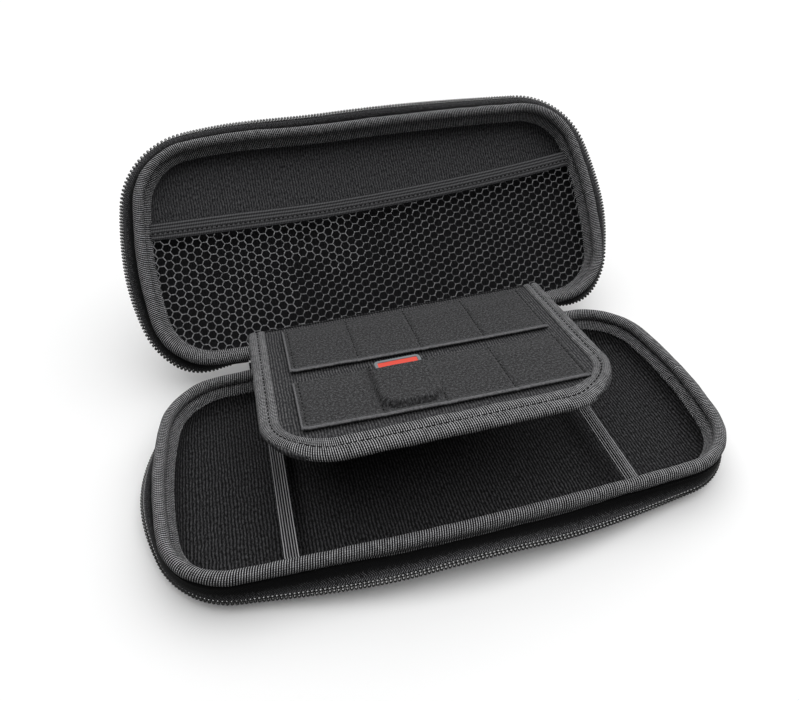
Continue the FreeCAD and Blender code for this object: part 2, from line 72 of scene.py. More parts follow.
def rim_arcs():
    """the arcs of the rim line, anticlockwise from the middle of the right end:
    centre x and y, radius, start and end in degrees"""
    end_x = RIM_LENGTH / 2 - END_RADIUS
    side_y = RIM_WIDTH / 2 - SIDE_RADIUS
    apart = math.hypot(end_x, side_y)
    to_side = SIDE_RADIUS - CORNER_RADIUS
    to_end = END_RADIUS - CORNER_RADIUS
    along = (to_side ** 2 - to_end ** 2 + apart ** 2) / (2 * apart)
    across = math.sqrt(to_side ** 2 - along ** 2)
    corner_x = (end_x * along - side_y * across) / apart
    corner_y = side_y + (-side_y * along - end_x * across) / apart
    side_turn = math.degrees(math.atan2(corner_y - side_y, corner_x))
    end_turn = math.degrees(math.atan2(corner_y, corner_x - end_x))
    return [
        (end_x, 0.0, END_RADIUS, 0.0, end_turn),
        (corner_x, corner_y, CORNER_RADIUS, end_turn, side_turn),
        (0.0, side_y, SIDE_RADIUS, side_turn, 180 - side_turn),
        (-corner_x, corner_y, CORNER_RADIUS, 180 - side_turn, 180 - end_turn),
        (-end_x, 0.0, END_RADIUS, 180 - end_turn, 180 + end_turn),
        (-corner_x, -corner_y, CORNER_RADIUS, 180 + end_turn, 180 + side_turn),
        (0.0, -side_y, SIDE_RADIUS, 180 + side_turn, 360 - side_turn),
        (corner_x, -corner_y, CORNER_RADIUS, 360 - side_turn, 360 - end_turn),
        (end_x, 0.0, END_RADIUS, 360 - end_turn, 360.0),
    ]


def lay_cloth(bm, cloth):
    """writes the places that a layer of the points holds into the cloth map"""
    uv = bm.loops.layers.uv.new("cloth")
    for face in bm.faces:
        for loop in face.loops:
            loop[uv].uv = loop.vert[cloth][:2]


def carry(profile, start, heading, moves, level=0.0, side=1, closed=True, moulded=False):
    """a profile of (out, up) points carried along a path of turns and straight runs; heading is
    the way out at the start, and a move is (centre, sweep, slide, length). It keeps a UV map in
    millimetres, along and across the cloth, or on moulded cloth as it lay before it was pressed"""
    bm = bmesh.new()
    spare = bm.verts.layers.float.new("spare")
    across = bm.verts.layers.float.new("across")
    cloth = bm.verts.layers.float_vector.new("cloth")
    way_out = Vector((math.cos(math.radians(heading)), math.sin(math.radians(heading)), 0))
    chain = []
    width = 0.0
    for number, (out, up) in enumerate(profile):
        if number:
            width += math.dist(profile[number - 1], profile[number])
        vert = bm.verts.new(Vector((start[0], start[1], level + side * up)) + way_out * out)
        vert[across] = width
        vert[spare] = width - (out - profile[0][0])
        chain.append(vert)
    geometry = chain + [bm.edges.new(pair) for pair in zip(chain, chain[1:])]
    if closed:
        geometry.append(bm.edges.new((chain[-1], chain[0])))
    distance = 0.0
    turn = math.radians(heading)
    for centre, sweep, slide, length in moves:
        steps = math.ceil(length / STEP_LENGTH)
        for step in range(steps + 1):
            for item in geometry:
                if isinstance(item, bmesh.types.BMVert):
                    item[cloth] = (distance, item[across], 0)
                    if moulded:
                        item[cloth] = (item.co.x + math.cos(turn) * item[spare],
                                       item.co.y + math.sin(turn) * item[spare], 0)
            if step == steps:
                break
            swept = bmesh.ops.spin(bm, geom=geometry, cent=(*centre, 0), axis=(0, 0, 1), steps=1,
                                   angle=math.radians(sweep) / steps,
                                   dvec=Vector((*slide, 0)) / steps)
            geometry = swept["geom_last"]
            distance += length / steps
            turn += math.radians(sweep) / steps
    lay_cloth(bm, cloth)
    return bm


def arc_moves(arcs):
    return [((x, y), stop - start, (0, 0), radius * math.radians(stop - start))
            for x, y, radius, start, stop in arcs]


def straight(x, y=0):
    """one straight run, as a move for carry"""
    return (0, 0), 0, (x, y), math.hypot(x, y)


def close_up(bm):
    """fills each open loop, with the cloth map laid flat there, and turns all faces outward"""
    uv = bm.loops.layers.uv.verify()
    edges = [edge for edge in bm.edges if edge.is_boundary]
    for face in bmesh.ops.edgeloop_fill(bm, edges=edges)["faces"]:
        for loop in face.loops:
            loop[uv].uv = loop.vert.co.xy
    bmesh.ops.recalc_face_normals(bm, faces=bm.faces)


def ring(profile, side, closed=True, moulded=False):
    """a profile of (out from the rim line, depth) points carried all round the rim"""
    start = (RIM_LENGTH / 2, 0)
    bm = carry(profile, start, 0, arc_moves(rim_arcs()), SPLIT, side, closed, moulded)
    bmesh.ops.remove_doubles(bm, verts=bm.verts, dist=0.15)
    return bm


def basin_corner(depth, inset, steps):
    """points round the corner between wall and floor, from the wall's end to the floor"""
    lean = WALL_LEAN / (depth - WALL_TOP)
    angle = math.atan(lean)
    middle = depth - FLOOR_RADIUS
    tangent = middle + FLOOR_RADIUS * math.sin(angle)
    centre = WALL / 2 - lean * (tangent - WALL_TOP) - FLOOR_RADIUS * math.cos(angle)
    radius = FLOOR_RADIUS - inset
    turns = [angle + (math.pi / 2 - angle) * step / steps for step in range(steps + 1)]
    return [(centre + radius * math.cos(turn), middle + radius * math.sin(turn)) for turn in turns]


def wall_out(inset, at, depth):
    """how far out the wall's face that is inset by inset lies at a depth"""
    end = basin_corner(depth, inset, 1)[0]
    return end[0] + WALL_LEAN / (depth - WALL_TOP) * (end[1] - at)


def soften(bm, amount, size):
    """moves every point a little along its normal, as hand-made soft goods are never exact"""
    bm.normal_update()
    for vert in bm.verts:
        vert.co += vert.normal * amount * noise.noise(vert.co / size)


def add_piece(name, bm, material, crease=50):
    """makes the finished mesh an object, in metres"""
    bmesh.ops.scale(bm, vec=(MM, MM, MM), verts=bm.verts)
    mesh = bpy.data.meshes.new(name)
    bm.to_mesh(mesh)
    bm.free()
    mesh.materials.append(material)
    mesh.shade_smooth()
    mesh.set_sharp_from_angle(angle=math.radians(crease))
    piece = bpy.data.objects.new(name, mesh)
    bpy.context.scene.collection.objects.link(piece)
    return piece


def hex_colour(code):
    """a linear colour from an sRGB hex value"""
    channels = [int(code[i:i + 2], 16) / 255 for i in (1, 3, 5)]
    linear = [c / 12.92 if c <= 0.04045 else ((c + 0.055) / 1.055) ** 2.4 for c in channels]
    return (*linear, 1.0)


def add_node(material, kind, sockets, **settings):
    """adds a node; a socket takes a number, a colour, or another node or socket to link from"""
    node = material.node_tree.nodes.new(kind)
    for name, value in settings.items():
        setattr(node, name, value)
    for name, value in sockets.items():
        if isinstance(value, bpy.types.Node):
            value = value.outputs[0]
        if isinstance(value, bpy.types.NodeSocket):
            material.node_tree.links.new(value, node.inputs[name])
        else:
            node.inputs[name].default_value = value
    return node


def combine(material, operation, *values):
    """a maths node on two or three numbers, nodes or sockets"""
    return add_node(material, "ShaderNodeMath", dict(enumerate(values)), operation=operation)


def add_ridges(material, place, pitch, distortion=0.0, detail=2.0, detail_scale=1.0, across="X"):
    """soft ridges pitch mm apart; a wave texture of scale 1 repeats every 2 pi / 20"""
    return add_node(material, "ShaderNodeTexWave", {
        "Vector": place, "Scale": 2 * math.pi / 20 / pitch, "Distortion": distortion,
        "Detail": detail, "Detail Scale": detail_scale}, bands_direction=across)


def add_noise(material, place, scale, detail=2.0, roughness=0.5):
    return add_node(material, "ShaderNodeTexNoise", {
        "Vector": place, "Scale": scale, "Detail": detail, "Roughness": roughness})


def own_noise(material, scale):
    """noise in the piece's own metres, for what has no cloth map"""
    place = add_node(material, "ShaderNodeTexCoord", {})
    return add_noise(material, place.outputs["Object"], scale)


def add_surface(material, sockets, kind="ShaderNodeBsdfPrincipled"):
    shader = add_node(material, kind, sockets)
    add_node(material, "ShaderNodeOutputMaterial", {"Surface": shader})


def new_material(name):
    """an empty material and its map of the cloth in millimetres"""
    material = bpy.data.materials.new(name)
    material.use_nodes = True
    material.node_tree.nodes.clear()
    cloth = add_node(material, "ShaderNodeUVMap", {}, uv_map="cloth")
    return material, cloth


def blend_colours(material, factor, places):
    """a colour ramp through (place, hex colour) pairs"""
    node = add_node(material, "ShaderNodeValToRGB", {"Fac": factor})
    ramp = node.color_ramp
    while len(ramp.elements) < len(places):
        ramp.elements.new(0.5)
    for element, (place, code) in zip(ramp.elements, places):
        element.position = place
        element.color = hex_colour(code)
    return node


def cloth_surface(material, colour, height, depth, roughness, sheen):
    """the shader of a matt cloth: colour and relief are worked out, depth is the relief in mm"""
    bump = add_node(material, "ShaderNodeBump", {
        "Strength": 1.0, "Distance": depth * MM, "Height": height})
    add_surface(material, {
        "Base Color": colour, "Roughness": roughness, "Normal": bump, "IOR": 1.5,
        "Specular IOR Level": 0.1, "Sheen Weight": sheen, "Sheen Roughness": 0.5})


def plain_weave(material, cloth, pitch):
    """relief of a plain weave: warp and weft threads that lie on top in turn"""
    warp, weft = [add_ridges(material, cloth, pitch, 0.6, 1.0, 0.4, across) for across in "XY"]
    turn = add_node(material, "ShaderNodeTexChecker", {"Vector": cloth, "Scale": 1 / pitch})
    return add_node(material, "ShaderNodeMix", {"Factor": turn.outputs["Fac"], "A": warp, "B": weft})


# Plain-woven nylon, dyed black: matt, with a fine regular grain that catches light in points.
# The real threads lie 0.5 mm apart, too fine to show, so they are drawn 0.9 mm apart.
shell_cloth, cloth = new_material("woven nylon")
weave = plain_weave(shell_cloth, cloth, 0.9)
cloth_surface(shell_cloth, blend_colours(shell_cloth, weave, [(0.1, "#09090a"), (0.9, "#303033")]),
              weave, 0.12, 0.75, 0.12)


def basin_shell(depth, side):
    """both faces of the board as one closed wall with its floor, pressed thin under the seam"""
    outside = basin_corner(depth, 0.0, FLOOR_EDGE_STEPS)[::-1]
    inside = basin_corner(depth, WALL, FLOOR_EDGE_STEPS)
    rim = [(wall_out(inset, at, depth), at) for inset, at in (
        (0.0, WALL_TOP), (PRESSED, WALL_TOP), (PRESSED, SEAM_FOOT), (WALL, BAND_FOOT))]
    bm = ring(outside + rim + inside, side, closed=False, moulded=True)
    close_up(bm)
    return bm


tray_board = add_piece("tray_board", basin_shell(TRAY_DEPTH, -1), shell_cloth)
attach(tray_board, "tray")
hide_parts("tray_shell")

# Tray lining
# Brushed knit glued to the inside of the basin. Its ribs run across the case, from the front to
# the spine, and its pile breaks them into short streaks.
LINING = 0.8
# the painted shade of the net on the lid's knit: how wide its edge is, and how dark it is
NET_SHADE_EDGE = 5
NET_SHADE_TONE = 0.62


def basin_lining(depth, side):
    """the knit as a thin closed skin over the inside of the board"""
    glued = basin_corner(depth, WALL, FLOOR_EDGE_STEPS)
    face = basin_corner(depth, WALL + LINING, FLOOR_EDGE_STEPS)[::-1]
    rim = [(wall_out(inset, BAND_FOOT, depth), BAND_FOOT) for inset in (WALL + LINING, WALL)]
    bm = ring(face + rim + glued, side, closed=False, moulded=True)
    close_up(bm)
    return bm


def brushed_knit(name, rib_pitch, share, dark, middle, light, net_shade_circle=(0, 0, 1000)):
    """a knit with ribs across the case, whose pile breaks them into short streaks; share is how
    much of the pattern the ribs make. Outside the circle (x, y, radius) that the last argument gives,
    where the net lies over the knit, the pile is painted darker: painted shade of the net"""
    knit, cloth = new_material(name)
    x, y, radius = net_shade_circle
    ribs = add_ridges(knit, cloth, rib_pitch, 3.4, 3.0, 0.6)
    ribs = combine(knit, "MULTIPLY_ADD", ribs, share, 1 - share)
    place = add_node(knit, "ShaderNodeMapping", {"Vector": cloth, "Scale": (1.5, 0.6, 1.0)})
    pile = combine(knit, "MULTIPLY", ribs, add_noise(knit, place, 1.0, 4.0, 0.75))
    # painted shade: outside the circle, where the net lies over it, the knit is painted darker
    distance = add_node(knit, "ShaderNodeVectorMath", {0: cloth, 1: (x, y, 0)}, operation="DISTANCE")
    free = add_node(knit, "ShaderNodeMapRange", {
        "Value": distance.outputs["Value"], "From Min": radius, "From Max": radius + NET_SHADE_EDGE,
        "To Min": 1.0, "To Max": NET_SHADE_TONE})
    pile = combine(knit, "MULTIPLY", pile, free)
    colour = blend_colours(knit, pile, [(0.14, dark), (0.36, middle), (0.62, light)])
    cloth_surface(knit, colour, pile, 0.5, 0.9, 0.02)
    return knit


# Brushed polyester knit, charcoal: soft ribs 1.49 mm apart, a dull pile that drinks the light
# and single lighter fibres along the ribs.
lining_knit = brushed_knit("brushed polyester knit", 1.49, 0.34, "#010102", "#0f0f10", "#525254")

tray_knit = add_piece("tray_knit", basin_lining(TRAY_DEPTH, -1), lining_knit)
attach(tray_knit, "tray")
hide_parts("tray_lining")

# Tray binding
# Grosgrain tape folded over the raw edge round a cord, so that it stands as a round bead, and
# sewn through: a short leg outside, a groove along the seam and a wide band inside.
BEAD_RADIUS = 2.85
BEAD_DROP = 3.15
BEAD_STEPS = 16
BEAD_CURL = 52.0
LEG_DEPTH = 6.4
LEG_DROP = 2.0
LEG_THICKNESS = 0.8
GROOVE_DEPTH = 5.4
GROOVE_IN = 1.5
BAND_DEPTH = 9.8
BAND_THICKNESS = 0.8


def smooth_step(low, high, value):
    share = min(max((value - low) / (high - low), 0), 1)
    return share * share * (3 - 2 * share)


def seam_drop(x, y, side):
    """how much lower than elsewhere the zipper's seam lies along the middle of the tray's front"""
    return LEG_DROP * smooth_step(70, 25, abs(x)) * (y < 0) * (side < 0)


def rim_inset(x, y):
    """how far inside the rim line a point lies, and the rim's way out there"""
    best = None
    for cx, cy, radius, start, stop in rim_arcs():
        turn = math.degrees(math.atan2(y - cy, x - cx)) % 360
        if start - 0.01 <= turn <= stop + 0.01 or start - 0.01 <= turn + 360 <= stop + 0.01:
            inset = radius - math.hypot(x - cx, y - cy)
            if best is None or inset < best[0]:
                best = (inset, math.cos(math.radians(turn)), math.sin(math.radians(turn)))
    return best


def edge_binding(depth, side):
    """the folded tape as one closed section carried round the rim"""
    leg = wall_out(0.0, LEG_DEPTH, depth)
    section = [(leg, LEG_DEPTH), (leg + LEG_THICKNESS, LEG_DEPTH), (leg + LEG_THICKNESS, LEG_DEPTH - 0.9)]
    for step in range(BEAD_STEPS + 1):
        turn = math.radians(-BEAD_CURL + (180 + 2 * BEAD_CURL) * step / BEAD_STEPS)
        section.append((BEAD_RADIUS * math.cos(turn), BEAD_DROP - BEAD_RADIUS * math.sin(turn)))
    face = wall_out(WALL + LINING, GROOVE_DEPTH, depth)
    foot = wall_out(WALL + LINING, BAND_DEPTH, depth)
    section += [
        (face + GROOVE_IN, GROOVE_DEPTH - 0.1),
        (face + GROOVE_IN, GROOVE_DEPTH + 0.5),
        (face + 0.2 * BAND_THICKNESS, GROOVE_DEPTH + 1.1),
        (face - 0.9 * BAND_THICKNESS, GROOVE_DEPTH + 1.7),
        (face - BAND_THICKNESS - 0.2, GROOVE_DEPTH + 2.4),
        (foot - BAND_THICKNESS, BAND_DEPTH - 0.9),
        (foot - 0.8 * BAND_THICKNESS, BAND_DEPTH - 0.1),
        (foot, BAND_DEPTH),
        (wall_out(WALL, BAND_DEPTH - 0.4, depth), BAND_DEPTH - 0.4),
        (wall_out(PRESSED / 2, SEAM_FOOT, depth), SEAM_FOOT),
        (wall_out(PRESSED / 2, WALL_TOP + 0.4, depth), WALL_TOP + 0.4),
        (wall_out(0.0, WALL_TOP + 0.4, depth), WALL_TOP + 0.4),
    ]
    bm = ring(section, side)
    bmesh.ops.recalc_face_normals(bm, faces=bm.faces)
    for vert in bm.verts:
        down = (vert.co.z - SPLIT) * side
        if down > LEG_DEPTH - 1 and rim_inset(vert.co.x, vert.co.y)[0] < PRESSED / 2:
            vert.co.z += side * seam_drop(vert.co.x, vert.co.y, side)
    soften(bm, 0.3, 9.0)
    return bm


# Grosgrain tape, polyester, charcoal: fine ribs across it, 1.0 mm apart, each a row of lighter
# threads that dive under the weft every 0.9 mm, which is drawn twice as coarse as it is to show.
binding_tape, cloth = new_material("grosgrain tape")
TAPE_RIB = 1.0
TAPE_WEFT = 0.9
leaning = add_node(binding_tape, "ShaderNodeMapping", {
    "Vector": cloth, "Rotation": (0, 0, math.radians(9))})
ribs = add_ridges(binding_tape, leaning, TAPE_RIB, 0.7, 2.0, 0.5)
weft = add_ridges(binding_tape, cloth, TAPE_WEFT, 1.2, 1.0, across="Y")
dashes = combine(binding_tape, "MULTIPLY_ADD", weft, 0.28, 0.72)
ribs = combine(binding_tape, "MULTIPLY", ribs, dashes)
patches = add_noise(binding_tape, cloth, 0.35, 4.0)
lit = combine(binding_tape, "MULTIPLY_ADD", patches, 0.5, -0.25)
lit = combine(binding_tape, "ADD", ribs, lit)
tape_colour = blend_colours(binding_tape, lit, [(0.1, "#050506"), (0.45, "#2a2a2c"), (0.95, "#c4c4c6")])
cloth_surface(binding_tape, tape_colour, ribs, 0.45, 0.75, 0.05)

tray_edge = add_piece("tray_edge_tape", edge_binding(TRAY_DEPTH, -1), binding_tape)
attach(tray_edge, "tray")
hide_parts("tray_binding")


def walk(arcs, spacing):
    """evenly spaced places along arcs, each with its way out"""
    places = []
    run = 0.0
    for x, y, radius, start, stop in arcs:
        length = radius * math.radians(stop - start)
        while len(places) * spacing <= run + length:
            turn = math.radians(start) + (len(places) * spacing - run) / radius
            out = Vector((math.cos(turn), math.sin(turn), 0))
            places.append((Vector((x, y, 0)) + out * radius, out))
        run += length
    return places


def grain(place, along, up, size):
    """where a stitch or another small grain lies; size is its length, width and height"""
    axes = Matrix((along, up.cross(along), up)).transposed().to_4x4()
    return Matrix.Translation(place) @ axes @ Matrix.Diagonal((*size, 1))


def spun(grains):
    """rounded grains of few faces, made a hundred at a time, because that is quicker"""
    bm = bmesh.new()
    batch_mesh = bpy.data.meshes.new("batch")
    for first in range(0, len(grains), 100):
        batch = bmesh.new()
        for matrix in grains[first:first + 100]:
            bmesh.ops.create_icosphere(batch, subdivisions=1, radius=0.5, matrix=matrix)
        batch.to_mesh(batch_mesh)
        batch.free()
        bm.from_mesh(batch_mesh)
    bpy.data.meshes.remove(batch_mesh)
    return bm


def seam_threads(depth, side):
    """the lock stitches that lie in the binding's groove"""
    inset = wall_out(WALL + LINING, GROOVE_DEPTH, depth) + GROOVE_IN - 0.1
    up = Vector((0, 0, -side))
    grains = []
    for rim, out in walk(rim_arcs(), SEAM_STITCH):
        place = rim + out * inset + Vector((0, 0, SPLIT + side * GROOVE_DEPTH))
        grains.append(grain(place, up.cross(out), -out, (0.75 * SEAM_STITCH, 0.55, 0.5)))
    return spun(grains)


def overlock_threads(depth, side):
    """the inner band's frayed, overlocked edge: short threads that lean to either side in turn"""
    inset = wall_out(WALL + LINING, BAND_DEPTH, depth) - 1.05 * BAND_THICKNESS
    down = Vector((0, 0, side))
    grains = []
    for number, (rim, out) in enumerate(walk(rim_arcs(), OVERLOCK)):
        stray = noise.noise(rim / 3)
        place = rim + out * inset + down * (BAND_DEPTH - 0.25 + 0.35 * stray)
        place.z += SPLIT
        along = (down + out.cross(down) * (0.5 if number % 2 else -0.4)).normalized()
        grains.append(grain(place, along, -out, (1.6 + 0.5 * stray, 0.6, 0.55)))
    return spun(grains)


# Spun polyester thread: dull black in the seam, and grey where the tape's edge is overlocked.
# Each has a fine twist, drawn 0.6 mm long so that it shows.
SEAM_STITCH = 2.8
OVERLOCK = 1.3
threads = {}
for thread_name, dark, light in (("black", "#030304", "#111112"), ("grey", "#505052", "#c4c4c6")):
    thread, _ = new_material("spun thread " + thread_name)
    twist = own_noise(thread, 1600.0)
    cloth_surface(thread, blend_colours(thread, twist, [(0.35, dark), (0.65, light)]), twist, 0.08, 0.7, 0.1)
    threads[thread_name] = thread

tray_seam = add_piece("tray_seam_stitches", seam_threads(TRAY_DEPTH, -1), threads["black"])
tray_overlock = add_piece("tray_overlock", overlock_threads(TRAY_DEPTH, -1), threads["grey"])
for piece in (tray_seam, tray_overlock):
    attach(piece, "tray")

# Tray zipper
# Woven tape sewn under the binding's outer leg all the way from one end of the spine to the
# other, with a nylon coil sewn along its free edge. It stands out level at the front and hangs
# down at the corners and the spine.
SPINE_WIDTH = 166.0
ZIP_WIDTH = 8.0
ZIP_THICKNESS = 0.8
TAPE_ROOT = 1.3
SEAM_OUT = 2.0
SEAM_DEPTH = LEG_DEPTH + ZIP_THICKNESS / 2 + 0.05
FLARE_ORDER = ["spine", "back_corner", "end", "front_corner", "front",
               "front_corner", "end", "back_corner", "spine"]
TRAY_FLARE = {"spine": 88.0, "back_corner": 76.0, "end": 36.0, "front_corner": 88.0, "front": 6.0}


def zipper_arcs():
    """the rim line from the left end of the spine round the front to its right end"""
    half_end, corner_br, back, corner_bl, left, corner_fl, front, corner_fr, _ = rim_arcs()
    x, y, radius, start, stop = back
    spine_turn = math.degrees(math.asin(SPINE_WIDTH / 2 / radius))
    end = (half_end[0], 0.0, half_end[2], 360 - half_end[4], 360 + half_end[4])
    corner_br = (*corner_br[:3], corner_br[3] + 360, corner_br[4] + 360)
    return [(x, y, radius, 90 + spine_turn, stop), corner_bl, left, corner_fl, front, corner_fr,
            end, corner_br, (x, y, radius, start + 360, 450 - spine_turn)]


def arc_length(arc):
    return arc[2] * math.radians(arc[4] - arc[3])


def flare_at(distance, flare):
    """how steeply the tape hangs at a distance along the zipper, eased between the named places"""
    keys = []
    run = 0.0
    for name, arc in zip(FLARE_ORDER, zipper_arcs()):
        keys.append((run + arc_length(arc) / 2, flare[name]))
        run += arc_length(arc)
    if distance <= keys[0][0]:
        return keys[0][1]
    for (d0, f0), (d1, f1) in zip(keys[:-1], keys[1:]):
        if distance <= d1:
            ease = (1 - math.cos(math.pi * (distance - d0) / (d1 - d0))) / 2
            return f0 + (f1 - f0) * ease
    return keys[-1][1]


def zipper_place(distance, flare, side):
    """seam point, way across the tape and its upper normal, at a distance along the zipper"""
    left = distance
    for x, y, radius, start, stop in zipper_arcs():
        length = radius * math.radians(stop - start)
        if left <= length + 0.000001:
            break
        left -= length
    turn = math.radians(start) + left / radius
    out = Vector((math.cos(turn), math.sin(turn), 0))
    steep = math.radians(flare_at(distance, flare))
    seam = Vector((x, y, SPLIT + side * SEAM_DEPTH)) + out * (radius + SEAM_OUT)
    seam.z += side * seam_drop(seam.x, seam.y, side)
    down = Vector((0, 0, side))
    across = out * math.cos(steep) + down * math.sin(steep)
    normal = down * math.cos(steep) - out * math.sin(steep)
    return seam, across, normal


def zipper_band(flare, side):
    """the tape: a flat strip spun round the rim, sewn in level at its root and settled to its slope
    from there on, point by point"""
    arcs = zipper_arcs()
    x, y, radius, start, _ = arcs[0]
    way = math.radians(start)
    start_point = (x + radius * math.cos(way), y + radius * math.sin(way))
    half = ZIP_THICKNESS / 2
    strip = [(out, -half) for out in (-TAPE_ROOT, 0, 2, 4, 6, ZIP_WIDTH)]
    strip += [(out, half) for out in (ZIP_WIDTH, 6, 4, 2, 0, -TAPE_ROOT)]
    bm = carry(strip, start_point, start, arc_moves(arcs))
    close_up(bm)
    cloth_map = bm.verts.layers.float_vector["cloth"]
    for vert in bm.verts:
        distance, width = vert[cloth_map][0], vert[cloth_map][1]
        on_top = width > TAPE_ROOT + ZIP_WIDTH + half
        reach = 2 * ZIP_WIDTH + ZIP_THICKNESS + TAPE_ROOT - width if on_top else width - TAPE_ROOT
        seam, across, normal = zipper_place(distance, flare, side)
        if reach < -0.01:
            across = Vector((across.x, across.y, 0)).normalized()
            normal = Vector((0, 0, side))
        wave = 0.25 * noise.noise(Vector((distance / 14, 0, side))) * reach / ZIP_WIDTH
        vert.co = seam + across * reach + normal * (wave + (half if on_top else -half))
    bmesh.ops.recalc_face_normals(bm, faces=bm.faces)
    return bm


# Zipper tape, polyester: black, woven in a 1 mm herringbone, with painted shade that darkens it
# toward its root under the bead, and one lighter guide thread beside the coil on either face.
zipper_tape, cloth = new_material("herringbone zipper tape")
HERRINGBONE = 1.0
GUIDE_THREAD = 5.6
part = add_node(zipper_tape, "ShaderNodeSeparateXYZ", {"Vector": cloth})
chevron = combine(zipper_tape, "PINGPONG", part.outputs["Y"], 1.6)
chevron = combine(zipper_tape, "ADD", part.outputs["X"], chevron)
chevron = add_node(zipper_tape, "ShaderNodeCombineXYZ", {"X": chevron})
twill = add_ridges(zipper_tape, chevron, HERRINGBONE)
twill = combine(zipper_tape, "MULTIPLY", twill, add_noise(zipper_tape, cloth, 0.9, 4.0))
folded = combine(zipper_tape, "PINGPONG", part.outputs["Y"], TAPE_ROOT + ZIP_WIDTH + ZIP_THICKNESS / 2)
guide = combine(zipper_tape, "COMPARE", folded, TAPE_ROOT + GUIDE_THREAD, 0.22)
# painted shade: the tape is darkened toward its root, where the bead would shade it, and lighter toward the
# coil
root_shade = add_node(zipper_tape, "ShaderNodeMapRange", {
    "Value": folded, "From Min": TAPE_ROOT + 2.0, "From Max": TAPE_ROOT + 6.5,
    "To Min": 0.25, "To Max": 1.2})
root_shade = combine(zipper_tape, "MULTIPLY", twill, root_shade)
twill_colour = blend_colours(zipper_tape, root_shade, [(0.1, "#030304"), (0.25, "#1a1a1b"), (0.55, "#6a6a6c")])
twill_colour = add_node(zipper_tape, "ShaderNodeMix", {
    "Factor": guide, "A": twill_colour, "B": hex_colour("#2e2e30")}, data_type="RGBA")
cloth_surface(zipper_tape, twill_colour.outputs["Result"], twill, 0.2, 0.8, 0.05)

tray_zip = add_piece("tray_zip_tape", zipper_band(TRAY_FLARE, -1), zipper_tape)
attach(tray_zip, "tray")
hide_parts("tray_zipper_tape")

COIL_PITCH = 1.7
COIL_END = 10
COIL_LEG = (1.8, 1.9, 2.0)
COIL_HEAD = (1.75, 2.0, 2.0)


def zipper_coil(flare, side):
    """the coil: each turn is a round leg over the tape's edge and a thick head beyond it"""
    total = sum(arc_length(arc) for arc in zipper_arcs())
    grains = []
    for number in range(int((total - 2 * COIL_END) / COIL_PITCH)):
        seam, across, normal = zipper_place(COIL_END + number * COIL_PITCH, flare, side)
        along = across.cross(normal).normalized()
        grains.append(grain(seam + across * (ZIP_WIDTH - 0.4), along, normal, COIL_LEG))
        grains.append(grain(seam + across * (ZIP_WIDTH + 0.7), along, normal, COIL_HEAD))
    return spun(grains)


# Moulded nylon coil: black and glossy enough for each turn to carry a small highlight.
zipper_coil_nylon, _ = new_material("moulded nylon coil")
scuffs = add_node(zipper_coil_nylon, "ShaderNodeMapRange", {
    "Value": own_noise(zipper_coil_nylon, 700.0), "To Min": 0.12, "To Max": 0.24})
add_surface(zipper_coil_nylon, {
    "Base Color": hex_colour("#030303"), "Roughness": scuffs, "IOR": 1.8, "Specular IOR Level": 1.0})

tray_coil = add_piece("tray_zip_coil", zipper_coil(TRAY_FLARE, -1), zipper_coil_nylon, crease=80)
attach(tray_coil, "tray")
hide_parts("tray_zipper_teeth")

# Straps
# Two flat ribbed elastics that cross the tray and hold the console down. Their ends go under the
# binding's inner band, front and back.
STRAP_WIDTH = 6.5
STRAP_THICKNESS = 1.0
STRAP_DEPTH = 7.0
STRAP_RIBS = 5


def rim_y(x):
    """y of the rim line at the back of the case"""
    return RIM_WIDTH / 2 - SIDE_RADIUS + math.sqrt(SIDE_RADIUS ** 2 - x ** 2)


def elastic(x):
    """flat elastic with its ribs, pulled straight from band to band"""
    reach = rim_y(abs(x) + STRAP_WIDTH / 2) - BAND_THICKNESS
    reach += wall_out(WALL + LINING, STRAP_DEPTH, TRAY_DEPTH)
    steps = STRAP_RIBS * 4
    top = []
    for step in range(steps + 1):
        swell = 0.22 * math.cos(2 * math.pi * step / 4) * (0 < step < steps)
        top.append((STRAP_WIDTH * (0.5 - step / steps), -0.1 + swell))
    bottom = [(-STRAP_WIDTH / 2, -STRAP_THICKNESS + 0.1), (STRAP_WIDTH / 2, -STRAP_THICKNESS + 0.1)]
    bm = carry(top + bottom, (x, -reach), 0, [straight(0, 2 * reach)], SPLIT - STRAP_DEPTH)
    close_up(bm)
    return bm


# Covered rubber elastic: black, with five light ribs and dark lanes between them.
elastic_strap, cloth = new_material("ribbed elastic")
lanes = add_ridges(elastic_strap, cloth, STRAP_WIDTH / STRAP_RIBS, 0.3, 1.0, across="Y")
lanes = combine(elastic_strap, "MULTIPLY_ADD", add_noise(elastic_strap, cloth, 1.2, 3.0), 0.4, lanes)
cloth_surface(elastic_strap, blend_colours(
    elastic_strap, lanes, [(0.5, "#060607"), (0.8, "#262628"), (1.15, "#a4a4a6")]), lanes, 0.3, 0.7, 0.05)

for side_name, strap_x in (("left", -76.0), ("right", 73.0)):
    strap = add_piece("elastic_" + side_name, elastic(strap_x), elastic_strap)
    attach(strap, "tray")
    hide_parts("strap_" + side_name)

# Lid
# The upper half is made as the tray is, a little shallower: board, knit, binding and zipper. It
# is modelled shut over the tray and then swung back about the spine to where it stands open.
LID_DEPTH = 20.5
LID_OPEN = 133.8
HINGE_Y = RIM_WIDTH / 2 + 3.26
LID_FLARE = {"spine": 88.0, "back_corner": 50.0, "end": 16.0, "front_corner": 20.0, "front": 2.0}
SHOULDER_X = -80.0
SHOULDER_RISE = 3.0
SHOULDER_REACH = 62
SHOULDER_FRONT = -48


